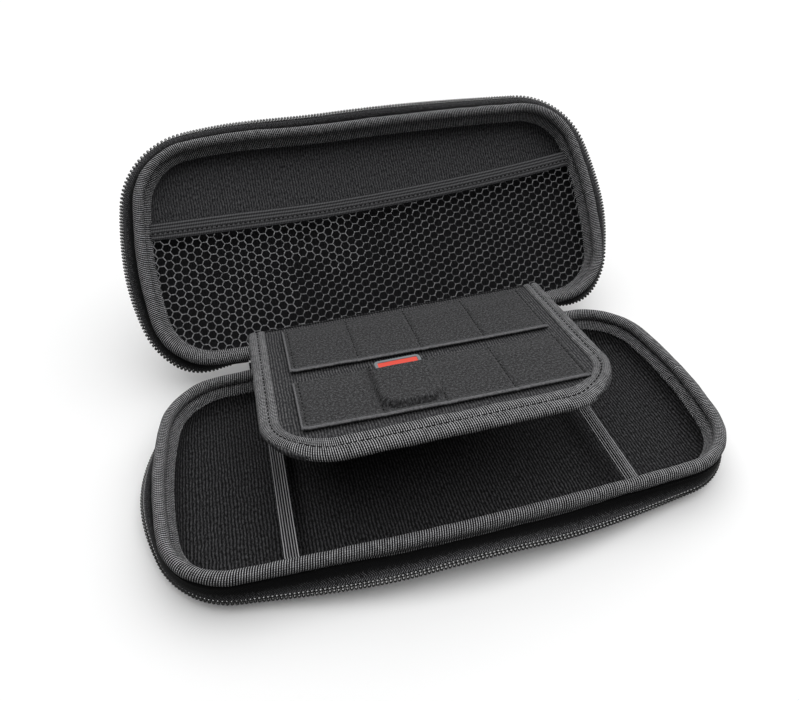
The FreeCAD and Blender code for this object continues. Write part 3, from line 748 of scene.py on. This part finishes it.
def open_lid(bm):
    """pulls out the lid's left shoulder a little, where the soft board has taken a set, and swings
    a piece of the shut lid back to where it stands"""
    for vert in bm.verts:
        near = smooth_step(SHOULDER_REACH, 0, abs(vert.co.x - SHOULDER_X))
        vert.co.y -= SHOULDER_RISE * near * smooth_step(0, SHOULDER_FRONT, vert.co.y)
    bmesh.ops.rotate(bm, verts=bm.verts, cent=(0, HINGE_Y, SPLIT),
                     matrix=Matrix.Rotation(math.radians(-LID_OPEN), 3, "X"))
    return bm


lid_board = add_piece("lid_board", open_lid(basin_shell(LID_DEPTH, 1)), shell_cloth)
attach(lid_board, "lid")
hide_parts("lid_shell")

NET_TOP_MIDDLE_X = -32.0
NET_TOP_MIDDLE_Y = -19.6
NET_TOP_LEFT_Y = -21.4
NET_TOP_RIGHT_Y = -30.0


def net_edge_circle():
    """centre and radius of the sagging top edge, through its three measured points"""
    half = RIM_LENGTH / 2
    ax, ay = NET_TOP_MIDDLE_X + half, NET_TOP_MIDDLE_Y - NET_TOP_LEFT_Y
    bx, by = 2 * half, NET_TOP_RIGHT_Y - NET_TOP_LEFT_Y
    cross = 2 * (ax * by - ay * bx)
    cx = (by * (ax ** 2 + ay ** 2) - ay * (bx ** 2 + by ** 2)) / cross
    cy = (ax * (bx ** 2 + by ** 2) - bx * (ax ** 2 + ay ** 2)) / cross
    return cx - half, cy + NET_TOP_LEFT_Y, math.hypot(cx, cy)


# The same knit as in the tray, in lighter colours: painted light, as the lid's lining takes more light than
# the tray's floor. Under the net it is painted darker again: painted shade of the net.
lid_lining_knit = brushed_knit("brushed polyester knit, painted lighter", 1.49, 0.25,
                               "#050506", "#1f1f21", "#68686a", net_edge_circle())
lid_knit = add_piece("lid_knit", open_lid(basin_lining(LID_DEPTH, 1)), lid_lining_knit)
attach(lid_knit, "lid")
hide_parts("lid_lining")

lid_edge = add_piece("lid_edge_tape", open_lid(edge_binding(LID_DEPTH, 1)), binding_tape)
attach(lid_edge, "lid")
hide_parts("lid_binding")

lid_seam = add_piece("lid_seam_stitches", open_lid(seam_threads(LID_DEPTH, 1)), threads["black"])
lid_overlock = add_piece("lid_overlock", open_lid(overlock_threads(LID_DEPTH, 1)), threads["grey"])
for piece in (lid_seam, lid_overlock):
    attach(piece, "lid")

lid_zip = add_piece("lid_zip_tape", open_lid(zipper_band(LID_FLARE, 1)), zipper_tape)
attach(lid_zip, "lid")
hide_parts("lid_zipper_tape")

lid_coil = add_piece("lid_zip_coil", open_lid(zipper_coil(LID_FLARE, 1)), zipper_coil_nylon, crease=80)
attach(lid_coil, "lid")
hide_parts("lid_zipper_teeth")

# Spine cloth
# A woven strip sewn under both rims where the zipper leaves off. It is the hinge, and with the
# lid open it hangs between the halves as a slack fold.
SPINE_CLOTH = 0.8
SPINE_SAG = 3.0
SPINE_STEPS = 10


def hinge_fold():
    """section of the slack fold from the tray's leg to the lid's, carried along the spine"""
    depth = LEG_DEPTH + 0.05
    tray_y = rim_y(0) + wall_out(0.0, LEG_DEPTH, TRAY_DEPTH) + SPINE_CLOTH / 2
    out = rim_y(0) + wall_out(0.0, LEG_DEPTH, LID_DEPTH) + SPINE_CLOTH / 2 - HINGE_Y
    turn = math.radians(-LID_OPEN)
    lid_y = HINGE_Y + out * math.cos(turn) - depth * math.sin(turn)
    lid_z = SPLIT + out * math.sin(turn) + depth * math.cos(turn)
    tray_z = SPLIT - depth
    section = []
    for step in range(SPINE_STEPS + 1):
        share = step / SPINE_STEPS
        sag = SPINE_SAG * math.sin(math.pi * share) ** 0.7
        section.append((tray_y + (lid_y - tray_y) * share, tray_z + (lid_z - tray_z) * share - sag))
    bm = carry(section, (SPINE_WIDTH / 2, 0), 90, [straight(-SPINE_WIDTH)], closed=False)
    for vert in bm.verts:
        vert.co.y += rim_y(vert.co.x) - rim_y(0)
    return bm


def thicken(piece, thickness):
    """gives a cloth made as one layer its thickness, half to either side"""
    modifier = piece.modifiers.new("cloth", "SOLIDIFY")
    modifier.thickness = thickness * MM
    modifier.offset = 0


spine = add_piece("spine_fold", hinge_fold(), shell_cloth)
thicken(spine, SPINE_CLOTH)
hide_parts("spine_cloth")
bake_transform(spine)

# Net pocket
# Warp-knitted net stretched over the lower two thirds of the lid. Its cells are hexagons about
# 4.6 mm wide; its edge is caught in the binding's inner band.
NET_DEPTH = 8.85
NET_CELL = 4.6
NET_STRAND = 0.7
NET_ASKEW = -20.0
NET_DRIFT = 0.9
NET_JITTER = 0.14


def net_lattice():
    """hexagons in staggered columns, cut to the pocket and pulled a little out of true"""
    bm = bmesh.new()
    cx, cy, edge_radius = net_edge_circle()
    hem = -wall_out(WALL + LINING, NET_DEPTH, LID_DEPTH) + BAND_THICKNESS * 0.6
    column_step = NET_CELL * math.sqrt(3) / 2
    rows = int(RIM_WIDTH / 2 / NET_CELL) + 1
    columns = int(RIM_LENGTH / 2 / column_step) + 1
    upright = Matrix.Rotation(math.radians(30), 4, "Z")
    for column in range(-columns, columns + 1):
        for row in range(-rows, rows + 1):
            x = column * column_step
            y = (row + (column % 2) / 2) * NET_CELL
            under_band = math.hypot(x - cx, y - cy) < edge_radius + NET_CELL
            if under_band or rim_inset(x, y)[0] < hem - 0.3 * NET_CELL:
                continue
            bmesh.ops.create_circle(bm, cap_ends=True, segments=6, radius=NET_CELL / math.sqrt(3),
                                    matrix=Matrix.Translation((x, y, 0)) @ upright)
    bmesh.ops.remove_doubles(bm, verts=bm.verts, dist=0.1)
    for vert in bm.verts:
        place = vert.co / 26
        drift = NET_DRIFT * noise.noise(place + Vector((0, 0, 3)))
        vert.co.x += drift + NET_JITTER * noise.noise(vert.co * 0.9)
        drift = NET_DRIFT * noise.noise(place + Vector((0, 0, 7)))
        vert.co.y += drift + NET_JITTER * noise.noise(vert.co * 0.8)
        vert.co.z = SPLIT + NET_DEPTH + 0.35 * noise.noise(place * 1.6)
        inset, out_x, out_y = rim_inset(vert.co.x, vert.co.y)
        if inset < hem:
            vert.co.x -= out_x * (hem - inset)
            vert.co.y -= out_y * (hem - inset)
    return bm


def net_strands(sunk):
    """a strand of yarn for each side of the net's cells, and a knot at each corner. Where the net
    is pulled askew, the strands that fall to the right are sunk behind the others"""
    lattice = net_lattice()
    toward = Vector((0, 0, -1))
    grains = []
    for edge in lattice.edges:
        run = edge.verts[1].co - edge.verts[0].co
        middle = (edge.verts[0].co + edge.verts[1].co) / 2
        askew = middle.x + 0.8 * middle.y + 45 * noise.noise(middle / 22) > NET_ASKEW
        if (askew and run.x * run.y > 0.5) != sunk:
            continue
        along = run.normalized()
        up = along.cross(toward).cross(along).normalized()
        width = NET_STRAND * (0.75 if askew else 0.95)
        size = (run.length * 1.22, width, 0.8 * NET_STRAND)
        grains.append(grain(middle - toward * (0.5 if sunk else 0), along, up, size))
    if not sunk:
        for vert in lattice.verts:
            size = (1.25 * NET_STRAND, 1.5 * NET_STRAND, NET_STRAND)
            grains.append(grain(vert.co, Vector((1, 0, 0)), toward, size))
    lattice.free()
    return open_lid(spun(grains))


def net_yarn(name, dark, light):
    """polyester yarn: smooth and slightly lustrous, with its twist as a fine change of tone"""
    yarn, _ = new_material(name)
    twist = own_noise(yarn, 900.0)
    cloth_surface(yarn, blend_colours(yarn, twist, [(0.3, dark), (0.7, light)]), twist, 0.1, 0.55, 0.05)
    return yarn


# The yarn is mid grey, so that the net stands out light against the dark knit behind it. The
# strands that lie on edge are thinner and sunk, and get a darker copy of the yarn: painted shade,
# as dark as the shade they lie in.
for piece_name, sunk, yarn in (("net", False, net_yarn("net yarn", "#545456", "#a4a4a6")),
                               ("net_sunk_yarn", True, net_yarn("net yarn, painted shade", "#232325", "#454547"))):
    strands = add_piece(piece_name, net_strands(sunk), yarn, crease=180)
    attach(strands, "lid")
    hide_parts("pocket_net")

# Net's top band
# Ribbed elastic folded over the net's upper edge and sewn through it with one row of stitches,
# so that the pocket closes on what it holds.
NET_BAND_WIDTH = 9.0
NET_BAND_RIBS = 5
NET_BAND_STITCH = (1.7, 0.8, 0.5)


def top_band():
    """the elastic's ribbed section carried along the sagging edge"""
    cx, cy, radius = net_edge_circle()
    half = RIM_LENGTH / 2
    hem = -wall_out(WALL + LINING, NET_DEPTH, LID_DEPTH) + BAND_THICKNESS
    left = math.atan2(NET_TOP_LEFT_Y - cy, -half + END_BOW * 0.12 + hem - cx)
    right = math.atan2(NET_TOP_RIGHT_Y - cy, half - END_BOW * 0.25 - hem - cx)
    steps = NET_BAND_RIBS * 4
    face = []
    for step in range(steps + 1):
        swell = 0.14 * math.cos(2 * math.pi * step / 4) * (0 < step < steps)
        face.append((NET_BAND_WIDTH * step / steps, NET_DEPTH - 1.15 - swell))
    back = [(NET_BAND_WIDTH, NET_DEPTH - 0.3), (0, NET_DEPTH - 0.3)]
    start = (cx + radius * math.cos(left), cy + radius * math.sin(left))
    sweep = math.degrees(right - left)
    bm = carry(face + back, start, math.degrees(left),
               [((cx, cy), sweep, (0, 0), radius * abs(math.radians(sweep)))], SPLIT, 1)
    close_up(bm)
    return open_lid(bm)


def band_stitches():
    """one row of black stitches through the elastic, two thirds down its width"""
    cx, cy, radius = net_edge_circle()
    half = RIM_LENGTH / 2 - 6
    left = math.degrees(math.atan2(NET_TOP_LEFT_Y - cy, -half - cx))
    right = math.degrees(math.atan2(NET_TOP_RIGHT_Y - cy, half - cx))
    height = Vector((0, 0, SPLIT + NET_DEPTH - 1.25))
    row = walk([(cx, cy, radius + 0.64 * NET_BAND_WIDTH, right, left)], 2.6)
    return open_lid(spun([
        grain(place + height, Vector((-out.y, out.x, 0)), Vector((0, 0, -1)), NET_BAND_STITCH)
        for place, out in row]))


# Covered rubber elastic as on the straps, woven closer: charcoal ribs with fine dark lanes.
net_elastic, cloth = new_material("ribbed elastic, close-woven")
NET_BAND_PICKS = 0.9
lanes = add_ridges(net_elastic, cloth, NET_BAND_WIDTH / NET_BAND_RIBS, 0.5, across="Y")
picks = add_ridges(net_elastic, cloth, NET_BAND_PICKS, 1.0)
picks = combine(net_elastic, "MULTIPLY_ADD", picks, 0.35, 0.1)
lanes = combine(net_elastic, "MULTIPLY_ADD", lanes, 0.55, picks)
cloth_surface(net_elastic, blend_colours(
    net_elastic, lanes, [(0.1, "#0c0c0d"), (0.4, "#2a2a2c"), (0.95, "#6c6c6e")]), lanes, 0.25, 0.75, 0.05)

net_band = add_piece("net_band", top_band(), net_elastic)
net_stitches = add_piece("net_band_stitches", band_stitches(), threads["black"])
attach(net_stitches, "lid")
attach(net_band, "lid")
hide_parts("net_top_band")

# Flap strip
# A woven strip sewn in beside the spine that rises to the flap's crest and carries the flap.
FLAP_WIDTH = 158.0
FLAP_LENGTH = 104.0
FLAP_CORNER = 30.0
FLAP_CENTRE_X = -1.5
FLAP_TILT = 6.6
STRIP_THICKNESS = 0.8
STRIP_Y = RIM_WIDTH / 2 + BEAD_RADIUS + 0.25
CREST_Y = STRIP_Y - 0.35
CREST_Z = SPLIT + 19.0


def rising_strip():
    """flat strip from beside the tray's bead to the crest"""
    low = SPLIT - LEG_DEPTH
    height = CREST_Z - low
    section = [(0, height * step / 12) for step in range(13)]
    section += [(STRIP_THICKNESS, height * step / 12) for step in range(12, -1, -1)]
    width = FLAP_WIDTH - 2
    bm = carry(section, (FLAP_CENTRE_X + width / 2, STRIP_Y), 90, [straight(-width)], low)
    close_up(bm)
    return bm


strip = add_piece("rising_strip", rising_strip(), lining_knit)
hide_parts("flap_strip")
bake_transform(strip)

# Card flap
# A stiff board faced with ribbed knit, a thin soft pad under it, and grosgrain tape folded round
# its two sides and its front.
PANEL = 2.4
BACKING = 1.0
FLAP_TAPE = 1.0
FLAP_TAPE_WIDTH = 8.6
FRONT_EXTRA = 3.2
FLAP_STITCH = 2.7
STITCH_SIZE = (1.9, 0.8, 0.5)
FLAP_TURN_X = FLAP_WIDTH / 2 - FLAP_CORNER
FLAP_TURN_Y = FLAP_CORNER - FLAP_LENGTH


def on_flap(bm):
    """lays a piece made flat, crest along X and front towards -Y, onto the raised flap"""
    bmesh.ops.rotate(bm, verts=bm.verts, cent=(0, 0, 0),
                     matrix=Matrix.Rotation(math.radians(-FLAP_TILT), 3, "X"))
    bmesh.ops.translate(bm, verts=bm.verts, vec=(FLAP_CENTRE_X, CREST_Y, CREST_Z))
    return bm


def round_flap(section, closed=True):
    """a section of (out from the flap's edge, height) points carried down its left side, round
    the front and up its right side"""
    quarter = FLAP_CORNER * math.pi / 2
    moves = [
        straight(0, FLAP_TURN_Y),
        ((-FLAP_TURN_X, FLAP_TURN_Y), 90, (0, 0), quarter),
        straight(2 * FLAP_TURN_X),
        ((FLAP_TURN_X, FLAP_TURN_Y), 90, (0, 0), quarter),
        straight(0, -FLAP_TURN_Y),
    ]
    return carry(section, (-FLAP_WIDTH / 2, 0), 180, moves, closed=closed)


def flap_sheet(inset, top, bottom, soft_edge):
    """a sheet with the flap's outline: the outline is filled, drawn down and rounded at its edges"""
    bm = round_flap([(-inset, top)], closed=False)
    bmesh.ops.contextual_create(bm, geom=list(bm.verts) + list(bm.edges))
    drawn = bmesh.ops.extrude_face_region(bm, geom=list(bm.faces))["geom"]
    bmesh.ops.translate(bm, verts=[item for item in drawn if isinstance(item, bmesh.types.BMVert)],
                        vec=(0, 0, bottom - top))
    bmesh.ops.recalc_face_normals(bm, faces=bm.faces)
    rims = [edge for edge in bm.edges if abs(edge.verts[0].co.z - edge.verts[1].co.z) < 0.01]
    bmesh.ops.bevel(bm, geom=rims, offset=soft_edge, segments=3, profile=0.5, affect="EDGES", material=-1)
    uv = bm.loops.layers.uv.verify()
    for face in bm.faces:
        for loop in face.loops:
            loop[uv].uv = (loop.vert.co.x, loop.vert.co.y + loop.vert.co.z)
    return on_flap(bm)


# Facing knit: as the lining, with closer ribs, 1.3 mm apart, and a shorter and lighter pile.
facing_knit = brushed_knit("ribbed facing knit", 1.3, 0.36, "#09090a", "#2a2a2c", "#686869")
flap_board = add_piece("flap_board", flap_sheet(FLAP_TAPE, 0.0, -PANEL, 0.5), facing_knit)
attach(flap_board, "card_flap")
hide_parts("flap_panel")

pad_sheet = flap_sheet(FLAP_TAPE_WIDTH + 0.1, -PANEL, -PANEL - BACKING, 0.45)
flap_pad = add_piece("flap_pad", pad_sheet, lining_knit)
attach(flap_pad, "card_flap")
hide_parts("flap_backing")


def flap_edge():
    """the folded tape: a plump upper lip, a round outer edge and a flat under lip"""
    low = -PANEL - FLAP_TAPE
    middle = (FLAP_TAPE + low) / 2
    roll = (FLAP_TAPE - low) / 2
    section = [(-FLAP_TAPE_WIDTH, 0.05), (-FLAP_TAPE_WIDTH + 0.15, 0.6)]
    section += [(-FLAP_TAPE_WIDTH + out, FLAP_TAPE + up) for out, up in (
        (0.9, 0), (2.2, 0.1), (3.2, -0.2), (3.7, -0.75), (4.1, -0.75), (4.7, -0.1), (5.8, 0.15))]
    for step in range(9):
        turn = math.radians(90 - 180 * step / 8)
        section.append((-roll + roll * math.cos(turn), middle + roll * math.sin(turn)))
    section += [(-FLAP_TAPE_WIDTH + 0.8, low), (-FLAP_TAPE_WIDTH, low + 0.7), (-FLAP_TAPE_WIDTH, -PANEL)]
    bm = round_flap(section)
    close_up(bm)
    widen_front(bm)
    soften(bm, 0.25, 8.0)
    return on_flap(bm)


def widen_front(bm):
    """draws the tape's inner edge in along the front, where the tape is wider than at the sides"""
    for vert in bm.verts:
        front = smooth_step(FLAP_LENGTH - 32, FLAP_LENGTH - 8, -vert.co.y)
        inside = FLAP_LENGTH + vert.co.y
        vert.co.y += FRONT_EXTRA * front * min(max(inside / FLAP_TAPE_WIDTH, 0), 1)


def flap_stitches():
    """the row of black stitches through both lips of the tape"""
    line = FLAP_TAPE_WIDTH - 3.9
    up = Vector((0, 0, 1))
    row = []
    for side in (-1, 1):
        for number in range(int(-FLAP_TURN_Y / FLAP_STITCH)):
            place = Vector((side * (FLAP_WIDTH / 2 - line), -number * FLAP_STITCH - 1, 0))
            row.append((place, Vector((side, 0, 0))))
        start = 180 if side < 0 else 270
        corner = (side * FLAP_TURN_X, FLAP_TURN_Y, FLAP_CORNER - line, start, start + 90)
        row += walk([corner], FLAP_STITCH)
    for number in range(int(2 * FLAP_TURN_X / FLAP_STITCH)):
        place = Vector(((number + 0.5) * FLAP_STITCH - FLAP_TURN_X, line - FLAP_LENGTH, 0))
        row.append((place, Vector((0, -1, 0))))
    bm = spun([grain(place + up * (FLAP_TAPE - 0.6), up.cross(out), up, STITCH_SIZE) for place, out in row])
    widen_front(bm)
    return on_flap(bm)


flap_tape = add_piece("flap_edge_tape", flap_edge(), binding_tape)
flap_seam = add_piece("flap_stitches", flap_stitches(), threads["black"])
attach(flap_seam, "card_flap")
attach(flap_tape, "card_flap")
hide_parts("flap_binding")

# Card pockets
# Two bands of stretch cloth laid across the flap and stitched down at their ends and between the
# pockets. Each band's front edge is a narrow hem that stands a little open.
POCKET_LEFT = -62.0
POCKET_RIGHT = 64.4
POCKET_CLOTH = 0.8
HEM_WIDTH = 2.2
HEM_BOW = 0.8
HEM_SLOPE = 2.4
POCKET_STITCH = 2.5
CARD_MOUTH = 5.6
BULGE_CORNER = 5.0
REAR_START = 4.0
REAR_END = 45.0
FRONT_START = 50.5
FRONT_END = 88.0
REAR_SEAMS = [-59.5, -29.5, 1.0, 32.2, 63.8]
FRONT_SEAMS = [-59.5, -27.0, 0.0, 30.6, 63.0]
CARD_LEFT = -24.2
CARD_WIDTH = 21.5
CARD_START = 49.4
CARD_LENGTH = 31.0
CARD_THICKNESS = 3.3


def card_lift(u, v):
    """how far the card under the front band lifts it at a point"""
    beside = max(abs(u - CARD_LEFT - CARD_WIDTH / 2) - CARD_WIDTH / 2 + BULGE_CORNER, 0)
    beyond = max(v - CARD_START - CARD_LENGTH + BULGE_CORNER, 0)
    return (CARD_THICKNESS + 0.25) * smooth_step(4.3, 1.2, math.hypot(beside, beyond) - BULGE_CORNER)


def band_height(u, v, start, end, seams, lift):
    """how high a band's cloth stands over the board: sewn down at its seams, a little full
    between them, turned up at its hem and at its left fold, and lifted by a card"""
    pinch = smooth_step(0.1, 1.6, min(abs(u - place) for place in seams))
    pinch += (1 - pinch) * 0.8 * smooth_step(end - 5, end - 1, v)
    height = 0.45 + 0.75 * pinch * smooth_step(start, start + 12, v)
    height += 0.7 * smooth_step(end - HEM_WIDTH - 1.2, end - 1.0, v) * (0.4 + 0.6 * pinch)
    height -= 0.5 * smooth_step(end - 0.8, end, v)
    height += 0.45 * smooth_step(2.4, 1.0, abs(u - POCKET_LEFT - 1.0)) * smooth_step(start, start + 6, v)
    height = max(height, lift(u, v) + 0.45)
    return height + 0.18 * noise.noise(Vector((u / 11, v / 11, end)))


def pocket_band(start, end, seams, lift):
    """one band as a grid of cloth over the board"""
    bm = bmesh.new()
    bmesh.ops.create_grid(bm, x_segments=250, y_segments=150, size=0.5)
    cloth = bm.verts.layers.float_vector.new("cloth")
    for vert in bm.verts:
        u = POCKET_LEFT + (POCKET_RIGHT - POCKET_LEFT) * (vert.co.x + 0.5)
        open_edge = end + HEM_BOW * (1 - (2 * vert.co.x) ** 2) - HEM_SLOPE * (0.5 - vert.co.x)
        closed_edge = start + CARD_MOUTH * (lift(u, start + 8) > 1.5 and start > REAR_END)
        v = closed_edge + (open_edge - closed_edge) * (0.5 - vert.co.y)
        vert[cloth] = (u - POCKET_LEFT, open_edge - v, 0)
        vert.co = Vector((u, -v, band_height(u, v, closed_edge, open_edge, seams, lift)))
    lay_cloth(bm, cloth)
    return on_flap(bm)


def pocket_stitches(start, end, seams, lift):
    """the rows of black stitches that part the pockets"""
    up = Vector((0, 0, 1))
    grains = []
    for seam in seams:
        for number in range(int((end - start - 2) / POCKET_STITCH)):
            v = start + 1.2 + number * POCKET_STITCH
            u = seam + 0.25 * noise.noise(Vector((seam, v, 0)))
            height = band_height(u, v, start, end, seams, lift) + 0.45
            grains.append(grain(Vector((u, -v, height)), Vector((0, 1, 0)), up, STITCH_SIZE))
    return on_flap(spun(grains))


# Stretch cloth, nylon and elastane: charcoal, matt and dense, with a fine even grain. Where it is
# folded, at the hem and at the left end, a light line is painted along the fold: a painted highlight.
stretch_cloth, cloth = new_material("stretch cloth")
FOLD_HIGHLIGHT = 0.45
speckle = add_noise(stretch_cloth, cloth, 0.95, 5.0, 0.9)
part = add_node(stretch_cloth, "ShaderNodeSeparateXYZ", {"Vector": cloth})
# painted highlight: light lines along the hem and the left fold, where the folded edge catches the light
hem = combine(stretch_cloth, "COMPARE", part.outputs["Y"], 0.75, FOLD_HIGHLIGHT)
side_fold_highlight = combine(stretch_cloth, "COMPARE", part.outputs["X"], 0.3, FOLD_HIGHLIGHT)
fold_highlights = combine(stretch_cloth, "MAXIMUM", hem, side_fold_highlight)
fold_highlights = combine(stretch_cloth, "MULTIPLY_ADD", fold_highlights, 0.16, speckle)
cloth_surface(stretch_cloth, blend_colours(
    stretch_cloth, fold_highlights, [(0.38, "#090909"), (0.5, "#303031"), (0.6, "#5c5c5e"), (0.78, "#767678")]),
    speckle, 0.4, 0.85, 0.1)

for band_name, start, end, seams, lift in (
        ("rear", REAR_START, REAR_END, REAR_SEAMS, lambda u, v: 0.0),
        ("front", FRONT_START, FRONT_END, FRONT_SEAMS, card_lift)):
    band = add_piece(band_name + "_pockets", pocket_band(start, end, seams, lift), stretch_cloth)
    thicken(band, POCKET_CLOTH)
    rows = add_piece(band_name + "_stitches", pocket_stitches(start, end, seams, lift), threads["black"])
    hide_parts(band_name + "_pocket_band")
    for piece in (band, rows):
        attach(piece, "card_flap")

# Game card
# A moulded plastic game card in the second pocket of the front band: a grey rounded shell with a
# bare red label set into its face.
CARD_CORNER = 2.0
LABEL_INSET = 1.4
LABEL_SUNK = 0.25


def card_body():
    """a plate with round corners, with the label's bare field sunk into its face"""
    bm = bmesh.new()
    place = (CARD_LEFT + CARD_WIDTH / 2, -CARD_START - CARD_LENGTH / 2, CARD_THICKNESS / 2)
    size = Matrix.Diagonal((CARD_WIDTH, CARD_LENGTH, CARD_THICKNESS, 1))
    bmesh.ops.create_cube(bm, size=1.0, matrix=Matrix.Translation(place) @ size)
    upright = [edge for edge in bm.edges if abs(edge.verts[0].co.z - edge.verts[1].co.z) > 1]
    bmesh.ops.bevel(bm, geom=upright, offset=CARD_CORNER, segments=5, profile=0.5,
                    affect="EDGES", material=-1)
    for thickness, depth in ((LABEL_INSET, 0.0), (0.1, -LABEL_SUNK)):
        top = [face for face in bm.faces if face.normal.z > 0.9 and face.calc_area() > 100]
        bmesh.ops.inset_region(bm, faces=top, thickness=thickness, depth=depth)
    for face in bm.faces:
        if face.normal.z > 0.9 and face.calc_area() > 100:
            face.material_index = 1
    return on_flap(bm)


# ABS, grey: moulded with a soft gloss. The label is coated paper, red and bare.
card_abs, _ = new_material("moulded ABS")
add_surface(card_abs, {"Base Color": hex_colour("#6d7276"), "Roughness": 0.4, "IOR": 1.53})
label_paper, _ = new_material("coated label paper")
add_surface(label_paper, {"Base Color": hex_colour("#dc3a22"), "Roughness": 0.45, "IOR": 1.5})

card = add_piece("card", card_body(), card_abs, crease=40)
card.data.materials.append(label_paper)
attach(card, "card_flap")
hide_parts("game_card")

# Sliders and pull tabs
# Die-cast zinc sliders lacquered black, parked at the ends of the zipper, with flat pull tabs.
slider_metal, _ = new_material("lacquered zinc")
add_surface(slider_metal, {"Base Color": hex_colour("#1a1a1b"), "Roughness": 0.35, "Metallic": 0.0})
for node in ("slider_left", "slider_right", "pull_tab_left", "pull_tab_right"):
    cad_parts[node].data.materials.clear()
    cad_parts[node].data.materials.append(slider_metal)

# Studio
# White paper inside a bright round wall, under one large soft light from above, a weaker one from
# the front and a panel that only makes highlights. The camera stands at the photograph's angle.
FLOOR_HALF = 6000
WALL_RADIUS = 5900
WALL_HEIGHT = 12000
floor_paper, _ = new_material("white studio paper")
add_surface(floor_paper, {
    "Base Color": hex_colour("#f2f2f2"), "Roughness": 0.9,
    "Emission Color": hex_colour("#ffffff"), "Emission Strength": 0.05})
bm = bmesh.new()
bmesh.ops.create_grid(bm, x_segments=1, y_segments=1, size=FLOOR_HALF)
floor = add_piece("studio_floor", bm, floor_paper)

wall_paper, _ = new_material("bright studio wall")
add_surface(wall_paper, {"Color": hex_colour("#ffffff"), "Strength": 1.0}, "ShaderNodeEmission")
bm = bmesh.new()
bmesh.ops.create_cone(bm, segments=96, radius1=WALL_RADIUS, radius2=WALL_RADIUS, depth=WALL_HEIGHT)
wall = add_piece("studio_wall", bm, wall_paper)
wall.visible_shadow = False
for paper in (floor, wall):
    paper.visible_diffuse = False
    paper.visible_glossy = False


def add_light(name, size, power, place, target):
    """a square soft light that points at a target; place and target in metres"""
    light = bpy.data.lights.new(name, "AREA")
    light.shape = "SQUARE"
    light.size = size
    light.energy = power
    lamp = bpy.data.objects.new(name, light)
    lamp.location = place
    lamp.rotation_euler = (Vector(target) - Vector(place)).to_track_quat("-Z", "Y").to_euler()
    bpy.context.scene.collection.objects.link(lamp)
    return lamp


add_light("front", 0.8, 0.9, (0.1, -1.2, 0.6), (0, 0, 0.02))
sparkle = add_light("highlight panel", 0.4, 3.0, (-0.35, -0.45, 0.8), (-0.05, -0.05, 0.02))
sparkle.visible_diffuse = False
bank = bpy.data.lights.new("overhead bank", "SUN")
bank.energy = 3.5
bank.angle = math.radians(110)
lamp = bpy.data.objects.new("overhead bank", bank)
lamp.rotation_euler = Vector((0.3, 0.3, 1)).to_track_quat("Z", "Y").to_euler()
bpy.context.scene.collection.objects.link(lamp)

world = bpy.data.worlds.new("studio")
bpy.context.scene.world = world
world.use_nodes = True
world.node_tree.nodes["Background"].inputs["Color"].default_value = (1, 1, 1, 1)
world.node_tree.nodes["Background"].inputs["Strength"].default_value = 0.1

CAMERA_AZIMUTH = math.radians(-12.668)
CAMERA_ELEVATION = math.radians(35.934)
CAMERA_ROLL = math.radians(-2.555)
CAMERA_PLACE = (-0.068576, -0.222387, 0.2547)
FOCAL_PIXELS = 688.38
PHOTO_WIDTH = 799
PHOTO_HEIGHT = 701
AXIS_X = 392.86
AXIS_Y = 306.31
back = Vector((math.sin(CAMERA_AZIMUTH) * math.cos(CAMERA_ELEVATION),
               -math.cos(CAMERA_AZIMUTH) * math.cos(CAMERA_ELEVATION), math.sin(CAMERA_ELEVATION)))
right = (-back).cross(Vector((0, 0, 1))).normalized()
up = right.cross(-back)
right, up = (right * math.cos(CAMERA_ROLL) + up * math.sin(CAMERA_ROLL),
             up * math.cos(CAMERA_ROLL) - right * math.sin(CAMERA_ROLL))
camera = bpy.data.objects.new("camera", bpy.data.cameras.new("camera"))
camera.matrix_world = Matrix.Translation(CAMERA_PLACE) @ Matrix((right, up, back)).transposed().to_4x4()
camera.data.sensor_width = 36.0
camera.data.lens = 36.0 * FOCAL_PIXELS / PHOTO_WIDTH
camera.data.shift_x = (PHOTO_WIDTH / 2 - AXIS_X) / PHOTO_WIDTH
camera.data.shift_y = (AXIS_Y - PHOTO_HEIGHT / 2) / PHOTO_WIDTH
camera.data.clip_start = 0.01
bpy.context.scene.collection.objects.link(camera)
bpy.context.scene.camera = camera
bpy.context.scene.view_settings.view_transform = "Standard"
